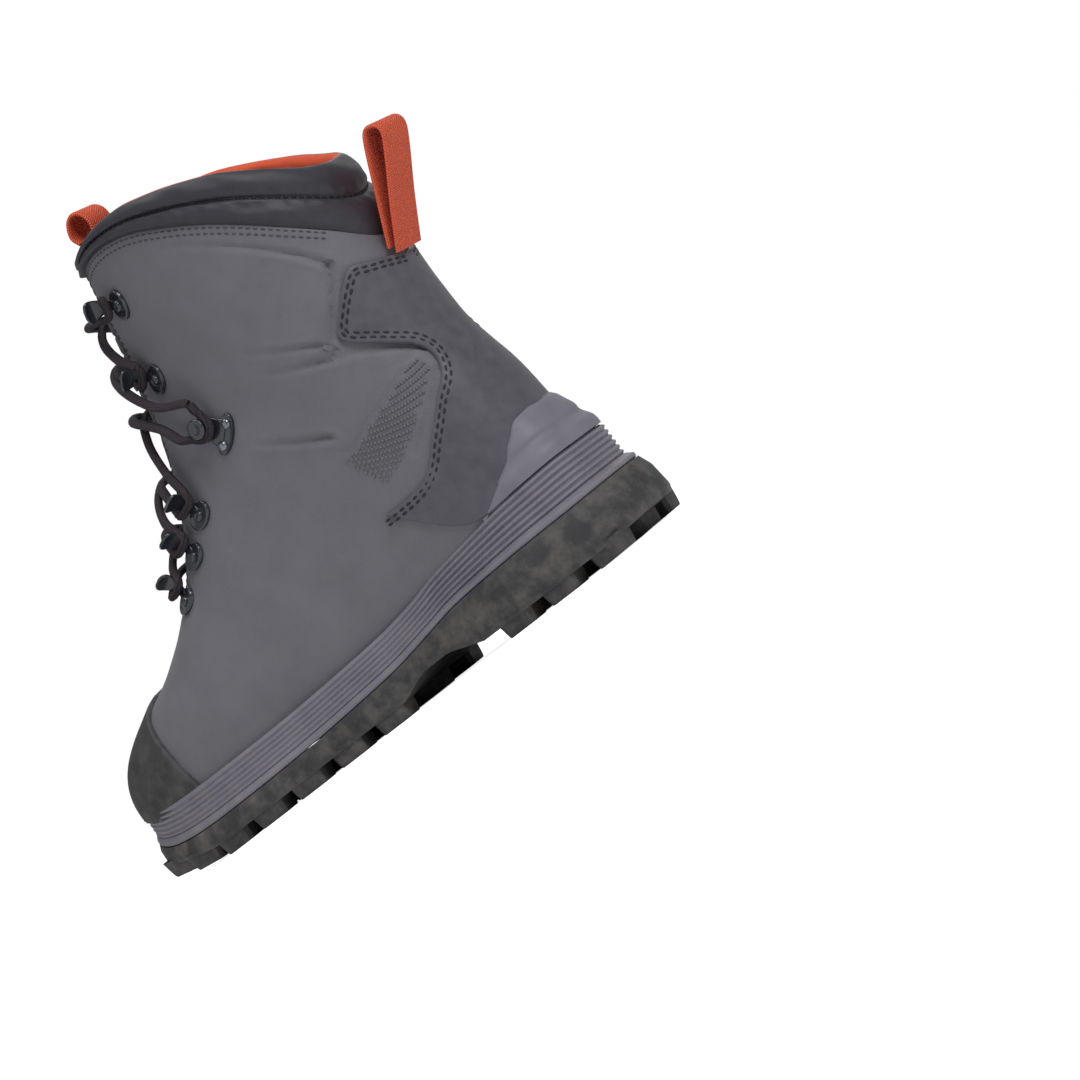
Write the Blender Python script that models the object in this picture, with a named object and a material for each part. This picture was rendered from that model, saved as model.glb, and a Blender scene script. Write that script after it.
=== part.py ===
"""Wading boot for the left foot, empty and standing on its sole.

Metres, +Z up, +X to the toe and +Y to the outer side of the foot. The origin is on the floor,
in the middle of the heel's flat. Every piece is worked out from one boot form: a row of
sections that fan from the toe, round the ankle bend, up to the collar.
"""
import math
from typing import NamedTuple

import bmesh
import bpy
import numpy as np

# Driving dimensions
LENGTH = 0.318          # sole, heel to toe
HEEL_REACH = 0.046      # sole behind the origin
BALL = 0.118            # sole across the ball
HEIGHT = 0.252          # floor to the collar's front
WALL = 0.0024           # upper's wall
GAP = 0.0003            # clearance between pieces

# Upper, overlays and padding
THROAT_TOE = 0.232      # front end of the throat, from the sole's back
THROAT_HALF = 0.0165    # half the throat's width
COUNTER_RISE = 0.0019   # counter's thickness
TOE_CAP_RISE = 0.0022   # toe cap's thickness
RIM_CLEAR = 0.0007      # toe cap above the midsole's rim
THROAT_CUT_OUT = 0.030  # the throat's cutter, outside and inside the form
THROAT_CUT_IN = 0.016
THROAT_TOE_SHARE = 0.16  # least square of the throat's width at its toe end
TONGUE_THICK = 0.0075
TONGUE_EDGE = 0.25      # tongue's edge, share of its thickness
TONGUE_CROWN_IN = 0.002  # tongue's crown inside the throat's edge
TONGUE_HALF = 0.030
TONGUE_TOP = 0.950      # tongue's top, row share
CROWN_FROM = 0.15       # where the tongue's crown starts and is full, share of its length
CROWN_TO = 0.275
TONGUE_BULGE = 0.0035   # tongue's crown through the throat
COLLAR_PAD = 0.0075     # collar's padding, inward
COLLAR_TIP = 0.0015     # the same beside the tongue
COLLAR_PUFF = 0.0028    # collar's rolls, outward
INSOLE_THICK = 0.0040
INSOLE_EDGE = 0.0012    # insole's edge, clear of the upper's wall

# Sole
LUG_DEPTH = 0.0065
LUG_WIDTH = 0.0150
LUG_LENGTH = 0.0190
LUG_ROOT = 0.0020       # lug's root inside the slab
LUG_INSET = 0.0022      # edge lugs inside the sole's outline
LUG_TAPER = 0.84        # lug's face, share of its root
LUG_INNER = 0.80        # inner lugs' width, share of the edge ones
LUG_SKEW = 0.16         # inner lugs' slant, share of their length
RIB_DEPTH = 0.0011
CUP_LIFT = 0.0245       # heel cup above the midsole's rim, at the back

# Lacing
HOOK_LONG = 0.0150
HOOK_WIDE = 0.0110
PLATE_THICK = 0.0014
HOOK_REACH = 0.0105
HOOK_STRAP = 0.0070
PULLEY_LONG = 0.0200
PULLEY_WIDE = 0.0088
DRUM_AHEAD = 0.0112     # drum's middle ahead of the plate's
DRUM_RADIUS = 0.0048
DRUM_FOOT = 0.0008      # drum's ends above the form
DRUM_TOP = 0.0080
LACE_RADIUS = 0.0021
LACE_SIDE_LIFT = 0.0065  # lace's middle above the form beside its hardware
LACE_CROWN = 0.0105     # lace's middle above the form where it crosses
LACE_STEP = 0.009       # lace's ends above and below their hardware, row share
LACE_CLEAR = 0.068      # lace's ends short of their hardware, side share
LACE_FACING = (0.35, 0.0, 0.94)  # way that the lace's first point round it faces
PLATE_LIFT = 0.0004     # a flat plate's middle above the curved form
PLATE_ROOT = 0.0012     # what the form trims from under a plate
WEB_WIDE = 0.0250
WEB_THICK = 0.0018
TAB_WIDE = 0.0190

# Bounds of the side-view cutters, as shares of LENGTH and HEIGHT in percent
BEHIND = -12.0
AHEAD = 108.0
UNDER = -20.0
ABOVE = 140.0

# How finely the pieces are divided
ROWS = 23
AROUND = 11
OUTLINE_STEPS = 3
TONGUE_ROWS = 13
COLLAR_RINGS = 29
PLATE_COUNT = 10        # points round a plate
DRUM_COUNT = 10         # points round a drum
LACE_COUNT = 5          # points round a lace
LACE_RINGS = 7          # sections along a lace


class Station(NamedTuple):
    """One section: ends as shares of LENGTH and HEIGHT, widths as shares of BALL, in percent."""
    low_x: float
    low_z: float
    high_x: float
    high_z: float
    outer: float
    inner: float
    middle: float
    widest: float
    low_power: float
    high_power: float


# Toe tip first, then back along the instep, round the ankle bend and up the shaft
STATIONS = (
    Station(97.3, 14.3, 97.3, 17.5, 6.8, 6.8, -7.6, 0.50, 2.00, 2.00),
    Station(96.2, 10.3, 96.0, 21.8, 18.5, 18.0, -7.6, 0.42, 2.60, 2.20),
    Station(93.8, 8.7, 93.2, 24.8, 27.8, 27.0, -6.8, 0.38, 3.20, 2.30),
    Station(89.8, 7.5, 89.0, 27.4, 35.2, 34.4, -5.7, 0.36, 3.60, 2.40),
    Station(84.0, 6.7, 82.8, 30.6, 41.2, 39.2, -4.0, 0.34, 4.00, 2.40),
    Station(76.7, 6.2, 75.2, 34.9, 44.9, 41.5, -2.1, 0.31, 4.00, 2.30),
    Station(68.6, 6.2, 68.2, 40.9, 44.9, 41.1, -0.4, 0.29, 4.00, 2.20),
    Station(60.1, 6.3, 62.8, 48.0, 41.9, 37.3, 0.4, 0.28, 4.00, 2.10),
    Station(51.3, 6.4, 59.0, 55.8, 38.6, 33.9, 0.8, 0.30, 3.80, 2.05),
    Station(42.1, 6.8, 56.6, 62.6, 36.4, 32.6, 0.8, 0.34, 3.50, 2.00),
    Station(32.4, 7.4, 55.0, 68.3, 35.2, 32.6, 0.4, 0.38, 3.20, 2.00),
    Station(22.6, 7.9, 54.1, 73.1, 34.7, 33.1, 0.3, 0.42, 3.00, 2.00),
    Station(13.8, 8.3, 53.4, 76.8, 34.7, 33.9, 0.0, 0.45, 2.90, 2.00),
    Station(7.8, 9.7, 52.8, 79.6, 34.7, 34.3, 0.0, 0.47, 2.50, 2.00),
    Station(5.7, 14.3, 52.2, 82.1, 34.7, 34.3, 0.0, 0.48, 2.20, 2.00),
    Station(5.4, 21.0, 51.8, 83.9, 34.7, 34.3, 0.0, 0.49, 2.10, 2.00),
    Station(5.7, 28.6, 51.4, 85.7, 35.0, 34.7, 0.0, 0.49, 2.05, 2.00),
    Station(6.3, 35.7, 51.0, 87.5, 35.4, 35.2, 0.0, 0.49, 2.00, 2.00),
    Station(7.5, 42.1, 50.6, 89.1, 35.8, 35.6, 0.0, 0.49, 2.00, 2.00),
    Station(8.5, 48.4, 50.2, 90.8, 36.4, 36.3, 0.0, 0.49, 2.00, 2.00),
    Station(8.6, 55.6, 49.7, 92.8, 37.3, 37.3, 0.0, 0.49, 2.00, 2.00),
    Station(8.4, 62.7, 49.2, 94.9, 38.0, 38.0, 0.0, 0.49, 2.00, 2.00),
    Station(8.0, 69.8, 48.6, 97.2, 38.6, 38.6, 0.0, 0.49, 2.05, 2.00),
    Station(7.9, 77.0, 48.1, 99.8, 39.0, 39.0, 0.0, 0.49, 2.10, 2.00),
    Station(8.0, 84.3, 47.6, 102.8, 39.2, 39.2, 0.0, 0.49, 2.10, 2.00),
    Station(8.3, 92.0, 47.2, 106.0, 39.2, 39.2, 0.0, 0.49, 2.10, 2.00),
)


class Outline(NamedTuple):
    """Sole's edge: place as a share of LENGTH, outer and inner edge as shares of BALL."""
    along: float
    outer: float
    inner: float


SOLE_OUTLINE = (
    Outline(96.2, 19.5, -33.9),
    Outline(89.3, 36.4, -44.9),
    Outline(78.9, 48.3, -48.3),
    Outline(66.4, 51.7, -44.9),
    Outline(53.8, 47.5, -38.1),
    Outline(39.6, 40.7, -32.2),
    Outline(26.4, 37.7, -34.3),
    Outline(15.1, 37.3, -36.9),
    Outline(6.0, 31.4, -31.4),
    Outline(1.6, 19.5, -19.5),
)
SOLE_TOE_SIDE = -7.6    # toe tip's place across, as a share of BALL


class Level(NamedTuple):
    """Sole's heights along the foot, as shares of LENGTH and of HEIGHT."""
    along: float
    tread: float
    parting: float
    bed: float
    rim: float


LEVELS = (
    Level(0.0, 0.6, 11.5, 12.7, 19.8),
    Level(6.0, 0.0, 11.3, 12.7, 19.8),
    Level(17.6, 0.0, 11.1, 12.7, 19.0),
    Level(28.0, 0.0, 10.5, 12.3, 17.3),
    Level(33.3, 2.2, 9.5, 11.5, 15.7),
    Level(38.0, 2.2, 8.5, 10.7, 14.7),
    Level(43.0, 0.0, 7.7, 10.1, 14.1),
    Level(55.3, 0.0, 6.7, 9.1, 13.3),
    Level(66.4, 0.0, 6.3, 8.5, 13.1),
    Level(80.0, 0.0, 6.3, 8.5, 13.3),
    Level(89.0, 1.3, 7.1, 9.3, 14.3),
    Level(95.0, 2.7, 8.7, 10.7, 15.9),
    Level(100.0, 4.3, 10.7, 12.3, 17.5),
)


def length_at(share):
    """World X of a share of LENGTH, in percent from the sole's back."""
    return LENGTH * share / 100.0 - HEEL_REACH


def height_at(share):
    """World Z of a share of HEIGHT, in percent."""
    return HEIGHT * share / 100.0


def catmull(values, places, closed=False):
    """Smooth curve through rows of values, read at fractional row places."""
    values = np.asarray(values, float)
    count = len(values)
    base = np.floor(places).astype(int)
    if not closed:
        base = np.clip(base, 0, count - 2)
    part = (places - base)[:, None]
    picks = [base + step for step in (-1, 0, 1, 2)]
    if closed:
        picks = [pick % count for pick in picks]
    else:
        picks = [np.clip(pick, 0, count - 1) for pick in picks]
    a, b, c, d = (values[pick] for pick in picks)
    return 0.5 * (2 * b + (c - a) * part + (2 * a - 5 * b + 4 * c - d) * part ** 2
                  + (3 * b - a - 3 * c + d) * part ** 3)


class Form:
    """The boot's outer form as a dense grid of points and normals.

    Rows run from the toe (0) to the top (1); columns run from the front line over the inner
    side (-1) to the back and bottom line (0) and over the outer side to the front line (1).
    """

    def __init__(self, rows=180, half=60, fine=160):
        table = np.array(STATIONS, float)
        dense = catmull(table, np.linspace(0, len(table) - 1, rows * 2))
        grid = np.array([self.section(Station(*row), half, fine) for row in dense])
        steps = np.linalg.norm(np.diff(grid, axis=0), axis=2).mean(axis=1)
        run = np.concatenate(([0.0], np.cumsum(steps)))
        run /= run[-1]
        even = np.interp(np.linspace(0, 1, rows), run, np.arange(len(run)))
        low = np.clip(even.astype(int), 0, len(run) - 2)
        part = (even - low)[:, None, None]
        self.points = grid[low] * (1 - part) + grid[low + 1] * part
        along = np.gradient(self.points, axis=0)
        across = np.gradient(self.points, axis=1)
        normals = np.cross(along, across)
        front = normals[:, 0] + normals[:, -1]
        normals[:, 0] = normals[:, -1] = front
        self.normals = normals / np.linalg.norm(normals, axis=2)[:, :, None]
        self.rows, self.columns = self.points.shape[:2]

    @staticmethod
    def section(row, half, fine):
        """Evenly spaced points of one section, from the front over the inner side and back."""
        turn = np.linspace(0, math.pi, fine)
        low = turn < math.pi / 2
        power = np.where(low, row.low_power, row.high_power)
        lean = np.abs(np.cos(turn)) ** (2 / power)
        share = np.where(low, row.widest * (1 - lean), row.widest + (1 - row.widest) * lean)
        reach = np.sin(turn) ** (2 / power)
        reach[0] = reach[-1] = 0.0
        sides = []
        for sign, width in ((-1, row.inner), (1, row.outer)):
            x = length_at(row.low_x) + (length_at(row.high_x) - length_at(row.low_x)) * share
            z = height_at(row.low_z) + (height_at(row.high_z) - height_at(row.low_z)) * share
            y = BALL / 100 * (row.middle + sign * width * reach)
            line = np.column_stack((x, y, z))
            run = np.concatenate(([0.0], np.cumsum(np.linalg.norm(np.diff(line, axis=0), axis=1))))
            want = np.linspace(0, run[-1], half + 1)
            sides.append(np.column_stack([np.interp(want, run, line[:, k]) for k in range(3)]))
        return np.concatenate((sides[0][::-1], sides[1][1:]))

    def at(self, row, side, lift=0.0):
        """Points at row shares and side shares, lifted along the normal."""
        row, side, lift = np.broadcast_arrays(*(np.asarray(v, float) for v in (row, side, lift)))
        i = np.clip(row, 0, 1) * (self.rows - 1)
        j = (np.clip(side, -1, 1) + 1) / 2 * (self.columns - 1)
        i0 = np.clip(i.astype(int), 0, self.rows - 2)
        j0 = np.clip(j.astype(int), 0, self.columns - 2)
        a, b = (i - i0)[..., None], (j - j0)[..., None]

        def blend(field):
            return (field[i0, j0] * (1 - a) * (1 - b) + field[i0 + 1, j0] * a * (1 - b)
                    + field[i0, j0 + 1] * (1 - a) * b + field[i0 + 1, j0 + 1] * a * b)

        normal = blend(self.normals)
        normal /= np.linalg.norm(normal, axis=-1)[..., None]
        return blend(self.points) + normal * lift[..., None]

    def row_where(self, side, heights):
        """Highest row on one column where the form meets a height curve of X."""
        rows = np.linspace(0.3, 1.0, 400)
        line = self.at(rows, side)
        above = line[:, 2] - heights(line[:, 0])
        below = np.nonzero(above < 0)[0]
        k = min(below[-1], len(rows) - 2)
        share = above[k] / (above[k] - above[k + 1])
        return rows[k] + (rows[k + 1] - rows[k]) * share


class Place(NamedTuple):
    """A place in the side view, as shares of LENGTH and HEIGHT in percent."""
    along: float
    up: float


# Top of the grey shaft, back to front
BORDER = (
    Place(6.5, 65.3), Place(8.3, 68.9), Place(10.9, 73.9), Place(14.8, 79.4), Place(19.3, 84.8),
    Place(24.0, 89.3), Place(29.7, 93.5), Place(33.2, 95.4), Place(36.0, 96.4), Place(38.7, 97.0),
    Place(41.3, 97.2), Place(43.6, 97.0), Place(46.4, 96.2), Place(48.8, 95.0), Place(51.0, 93.6),
)
# Top of the collar's outer side, back to front
COLLAR_TOP = (
    Place(6.5, 82.7), Place(8.3, 84.2), Place(11.1, 87.5), Place(14.1, 90.7), Place(17.0, 93.2),
    Place(20.4, 95.2), Place(24.2, 97.1), Place(27.5, 98.4), Place(30.7, 99.5), Place(33.6, 100.0),
    Place(36.4, 100.2), Place(39.4, 100.1), Place(42.6, 99.7), Place(45.6, 99.0), Place(48.4, 98.0),
    Place(51.0, 96.9),
)
# Top of the collar's inner side, which is lower towards the back
COLLAR_TOP_INNER = (
    Place(6.5, 82.7), Place(8.3, 84.2), Place(10.0, 85.0), Place(11.7, 86.0), Place(13.7, 87.2),
    Place(15.9, 88.7), Place(18.3, 90.4), Place(20.8, 92.1), Place(23.4, 93.8), Place(26.0, 95.5),
    Place(28.6, 97.1), Place(31.2, 98.5), Place(33.8, 99.5), Place(36.4, 100.0), Place(39.4, 100.0),
    Place(42.6, 99.7), Place(45.6, 99.0), Place(48.4, 98.0), Place(51.0, 96.9),
)
# Heel counter from its tab's top, down the front edge to the heel cup
COUNTER_EDGE = (
    Place(2.0, 62.0), Place(8.4, 63.7), Place(10.6, 65.9), Place(12.0, 66.7), Place(13.3, 66.0),
    Place(15.1, 63.3), Place(17.0, 60.7), Place(18.0, 58.6), Place(17.4, 56.7), Place(15.1, 53.9),
    Place(12.6, 51.0), Place(11.1, 47.9), Place(10.8, 45.2), Place(11.6, 42.2), Place(13.2, 39.8),
    Place(14.9, 37.4), Place(18.0, 33.3), Place(22.6, 26.0),
)
# Heel cup's top edge, back to front
CUP_EDGE = (
    Place(-4.0, 30.0), Place(5.6, 28.8), Place(8.2, 26.4), Place(10.0, 24.2), Place(14.8, 21.0),
    Place(18.0, 18.0),
)
# Toe cap's back edge, from the top down
TOE_EDGE = (Place(83.0, 40.0), Place(82.2, 30.0), Place(79.5, 22.0), Place(77.5, 12.0))


class Side(NamedTuple):
    """One step of the midsole's wall: share of its height, inset at the heel, inset forward."""
    share: float
    heel: float
    fore: float


# Insets are shares of BALL in percent
MIDSOLE_WALL = (
    Side(0.00, 3.4, 1.6), Side(0.10, 3.5, 1.7), Side(0.20, 6.2, 2.6),
    Side(0.40, 6.2, 2.8), Side(0.60, 6.2, 3.0), Side(0.80, 6.1, 3.2), Side(1.00, 6.1, 3.4),
)
CUP_WALL = (Side(0.00, 6.1, 6.1), Side(0.20, 6.6, 6.6), Side(0.42, 9.3, 9.3), Side(0.55, 9.6, 9.6),
            Side(0.80, 11.8, 11.8), Side(1.00, 13.4, 13.4))
OUTSOLE_WALL = (Side(0.00, 1.0, 0.6), Side(0.15, 0.0, 0.0), Side(0.70, 0.9, 0.3), Side(1.00, 3.0, 1.4))
HEEL_FADE = (24.0, 38.0)    # where the heel's insets give way, shares of LENGTH


class Spot(NamedTuple):
    """Hardware on the form: row share, side share."""
    row: float
    side: float


class Roll(NamedTuple):
    """A point round the collar's section: share of its height, share of puff (+) or pad (-)."""
    share: float
    lift: float


COLLAR_ROLLS = (
    Roll(-0.08, 0.05), Roll(0.10, 0.75), Roll(0.26, 1.00), Roll(0.42, 0.65), Roll(0.49, 0.10),
    Roll(0.56, 0.65), Roll(0.73, 1.00), Roll(0.91, 0.45), Roll(1.00, -0.30), Roll(0.97, -0.70),
    Roll(0.82, -0.98), Roll(0.45, -1.00), Roll(0.10, -0.80), Roll(-0.08, -0.32),
)
COLLAR_END = 0.900      # collar's ends, side share
PAD_FADE = (0.70, 0.80)  # where the padding thins for the tongue, side shares

# Pull loops in the side view, shares of LENGTH and HEIGHT
BACK_LOOP = (
    Place(7.2, 63.9), Place(3.4, 71.0), Place(-0.4, 77.6), Place(-2.0, 80.9), Place(-1.7, 82.7),
    Place(-0.2, 83.1), Place(1.2, 81.0), Place(4.2, 74.0), Place(7.9, 65.3),
)
FRONT_LOOP = (
    Place(46.3, 101.6), Place(46.8, 103.5), Place(45.8, 105.8), Place(44.3, 106.4),
    Place(43.1, 105.1), Place(42.9, 103.0), Place(43.6, 101.5), Place(44.9, 101.2),
)
KEEPERS = (Spot(0.328, 0.785), Spot(0.398, 0.768), Spot(0.466, 0.752))
PULLEY = Spot(0.625, 0.702)
HOOKS = (Spot(0.672, 0.842), Spot(0.852, 0.772))


class Step(NamedTuple):
    """A step along a strap, as shares of its reach ahead and out, and of its width."""
    ahead: float
    out: float
    wide: float


HOOK_STEPS = (
    Step(-0.15, 0.07, 0.8), Step(0.25, 0.10, 0.8), Step(0.55, 0.16, 0.8), Step(0.85, 0.42, 0.9),
    Step(1.00, 0.80, 1.2), Step(0.98, 1.05, 1.5),
)
ARM_STEPS = (Step(0.10, 0.08, 1.5), Step(0.50, 0.10, 1.1), Step(1.15, 0.12, 0.8))


class Lug(NamedTuple):
    """One row of lugs across the tread: place along, how many across."""
    along: float
    count: int


LUG_ROWS = (Lug(6.4, 3), Lug(14.5, 3), Lug(22.6, 3), Lug(46.4, 3), Lug(54.2, 4), Lug(62.0, 4),
            Lug(69.8, 4), Lug(77.6, 4), Lug(85.2, 3), Lug(91.9, 2))


class HeightLine:
    """A height curve over X through places in the side view, smooth or in straight runs."""

    def __init__(self, places, smooth=True, lift=0.0):
        self.places, self.smooth, self.lift = places, smooth, lift
        ends = np.array([(length_at(p.along), height_at(p.up) + lift) for p in places])
        self.line = catmull(ends, np.linspace(0, len(ends) - 1, 8 * len(ends))) if smooth else ends

    def __call__(self, x):
        return np.interp(x, self.line[:, 0], self.line[:, 1])

    def raised(self, lift):
        """The same curve, higher by a distance."""
        return HeightLine(self.places, self.smooth, self.lift + lift)


def level(name, smooth=True):
    """Height curve of one column of the sole's levels."""
    return HeightLine([Place(row.along, getattr(row, name)) for row in LEVELS], smooth)


def new_object(name, verts, faces, collection):
    """An object from points and faces, with its faces turned outwards."""
    mesh = bpy.data.meshes.new(name)
    mesh.from_pydata([tuple(map(float, v)) for v in verts], [], faces)
    shape = bmesh.new()
    shape.from_mesh(mesh)
    bmesh.ops.recalc_face_normals(shape, faces=shape.faces)
    shape.to_mesh(mesh)
    shape.free()
    thing = bpy.data.objects.new(name, mesh)
    collection.objects.link(thing)
    return thing


def loft(name, rings, collection, ladder=False):
    """A closed solid through rings of equal counts, capped flat or by a ladder of quads.

    Its sides are split along one diagonal, so that two lifts of one form stay apart.
    """
    count = len(rings[0])
    verts = np.concatenate(rings)
    faces = []
    for k in range(len(rings) - 1):
        for i in range(count):
            j = (i + 1) % count
            low, high = k * count, (k + 1) * count
            faces.append((low + i, low + j, high + j))
            faces.append((low + i, high + j, high + i))
    for base in (0, (len(rings) - 1) * count):
        if ladder:
            half = count // 2
            faces.append((base, base + 1, base + count - 1))
            for i in range(1, half - 1):
                faces.append((base + i, base + i + 1, base + count - i - 1, base + count - i))
            faces.append((base + half - 1, base + half, base + half + 1))
        else:
            faces.append(tuple(range(base, base + count)))
    return new_object(name, verts, faces, collection)


def prism(name, outline, half, collection):
    """A side-view outline, as world X and Z, drawn out to both sides."""
    rings = [np.array([(x, y, z) for x, z in outline]) for y in (-half, half)]
    return loft(name, rings, collection)


def cut(target, cutter, operation="DIFFERENCE"):
    """Add one Boolean to an object."""
    step = target.modifiers.new(cutter.name, "BOOLEAN")
    step.operation = operation
    step.object = cutter


def as_cutter(thing):
    """Keep a cutter out of the picture."""
    thing.hide_render = True
    thing.display_type = "WIRE"
    return thing


def dress(thing, material, smooth=35.0):
    """Give an object its material and soft shading."""
    thing.data.materials.clear()
    thing.data.materials.append(material)
    thing.data.shade_smooth()
    thing.data.set_sharp_from_angle(angle=math.radians(smooth))
    return thing


def make_material(name, colour, roughness, metallic=0.0):
    """A Principled material."""
    material = bpy.data.materials.new(name)
    material.use_nodes = True
    shader = material.node_tree.nodes["Principled BSDF"]
    shader.inputs["Base Color"].default_value = (*colour, 1.0)
    shader.inputs["Roughness"].default_value = roughness
    shader.inputs["Metallic"].default_value = metallic
    return material


def form_rows():
    """Row shares for a form solid, closer together at the toe."""
    return np.concatenate(([0.0, 0.014, 0.034, 0.062], np.linspace(0.098, 1.0, ROWS - 4)))


def form_solid(form, name, lift, collection):
    """The whole form as a closed solid, lifted along its normals."""
    sides = np.linspace(-1, 1, 2 * AROUND + 1)[:-1]
    rings = [form.at(row, sides, lift) for row in form_rows()]
    return loft(name, rings, collection)


def sole_ring(steps=OUTLINE_STEPS):
    """The sole's outline as a closed ring of X and Y, toe tip first, outer side next."""
    outer = [(length_at(row.along), BALL * row.outer / 100) for row in SOLE_OUTLINE]
    inner = [(length_at(row.along), BALL * row.inner / 100) for row in SOLE_OUTLINE]
    toe = [(length_at(100.0), BALL * SOLE_TOE_SIDE / 100)]
    heel = [(length_at(0.0), 0.0)]
    ring = np.array(toe + outer + heel + inner[::-1])
    return catmull(ring, np.arange(len(ring) * steps) / steps, closed=True)


def inset_ring(ring, inset):
    """A ring moved inwards by a distance at each point."""
    along = np.roll(ring, -1, axis=0) - np.roll(ring, 1, axis=0)
    along /= np.linalg.norm(along, axis=1)[:, None]
    return ring + np.column_stack((along[:, 1], -along[:, 0])) * -np.asarray(inset)[..., None]


def wall_inset(side, x):
    """Inset of a sole's wall step: the heel's value giving way to the forward one."""
    share = (x - length_at(HEEL_FADE[0])) / (length_at(HEEL_FADE[1]) - length_at(HEEL_FADE[0]))
    share = np.clip(share, 0, 1)
    share = share * share * (3 - 2 * share)
    return BALL / 100 * (side.heel + (side.fore - side.heel) * share)


def wall_rings(sides, low, high, ring):
    """Rings of a sole wall between two height curves."""
    rings = []
    for side in sides:
        flat = inset_ring(ring, wall_inset(side, ring[:, 0]))
        x = flat[:, 0]
        z = low(x) + (high(x) - low(x)) * side.share
        rings.append(np.column_stack((flat, z)))
    return rings


def ribbed(sides):
    """The midsole's wall steps with its ribs between the lip and the rim."""
    steps = list(sides[:2])
    for low, high in zip(sides[2:-1], sides[3:]):
        middle = (low.share + high.share) / 2
        groove = 100 * RIB_DEPTH / BALL
        steps.append(Side(low.share, low.heel + groove, low.fore))
        steps.append(Side(middle, (low.heel + high.heel) / 2, (low.fore + high.fore) / 2))
    last = sides[-1]
    steps.append(Side(last.share, last.heel, last.fore))
    return steps


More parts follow.
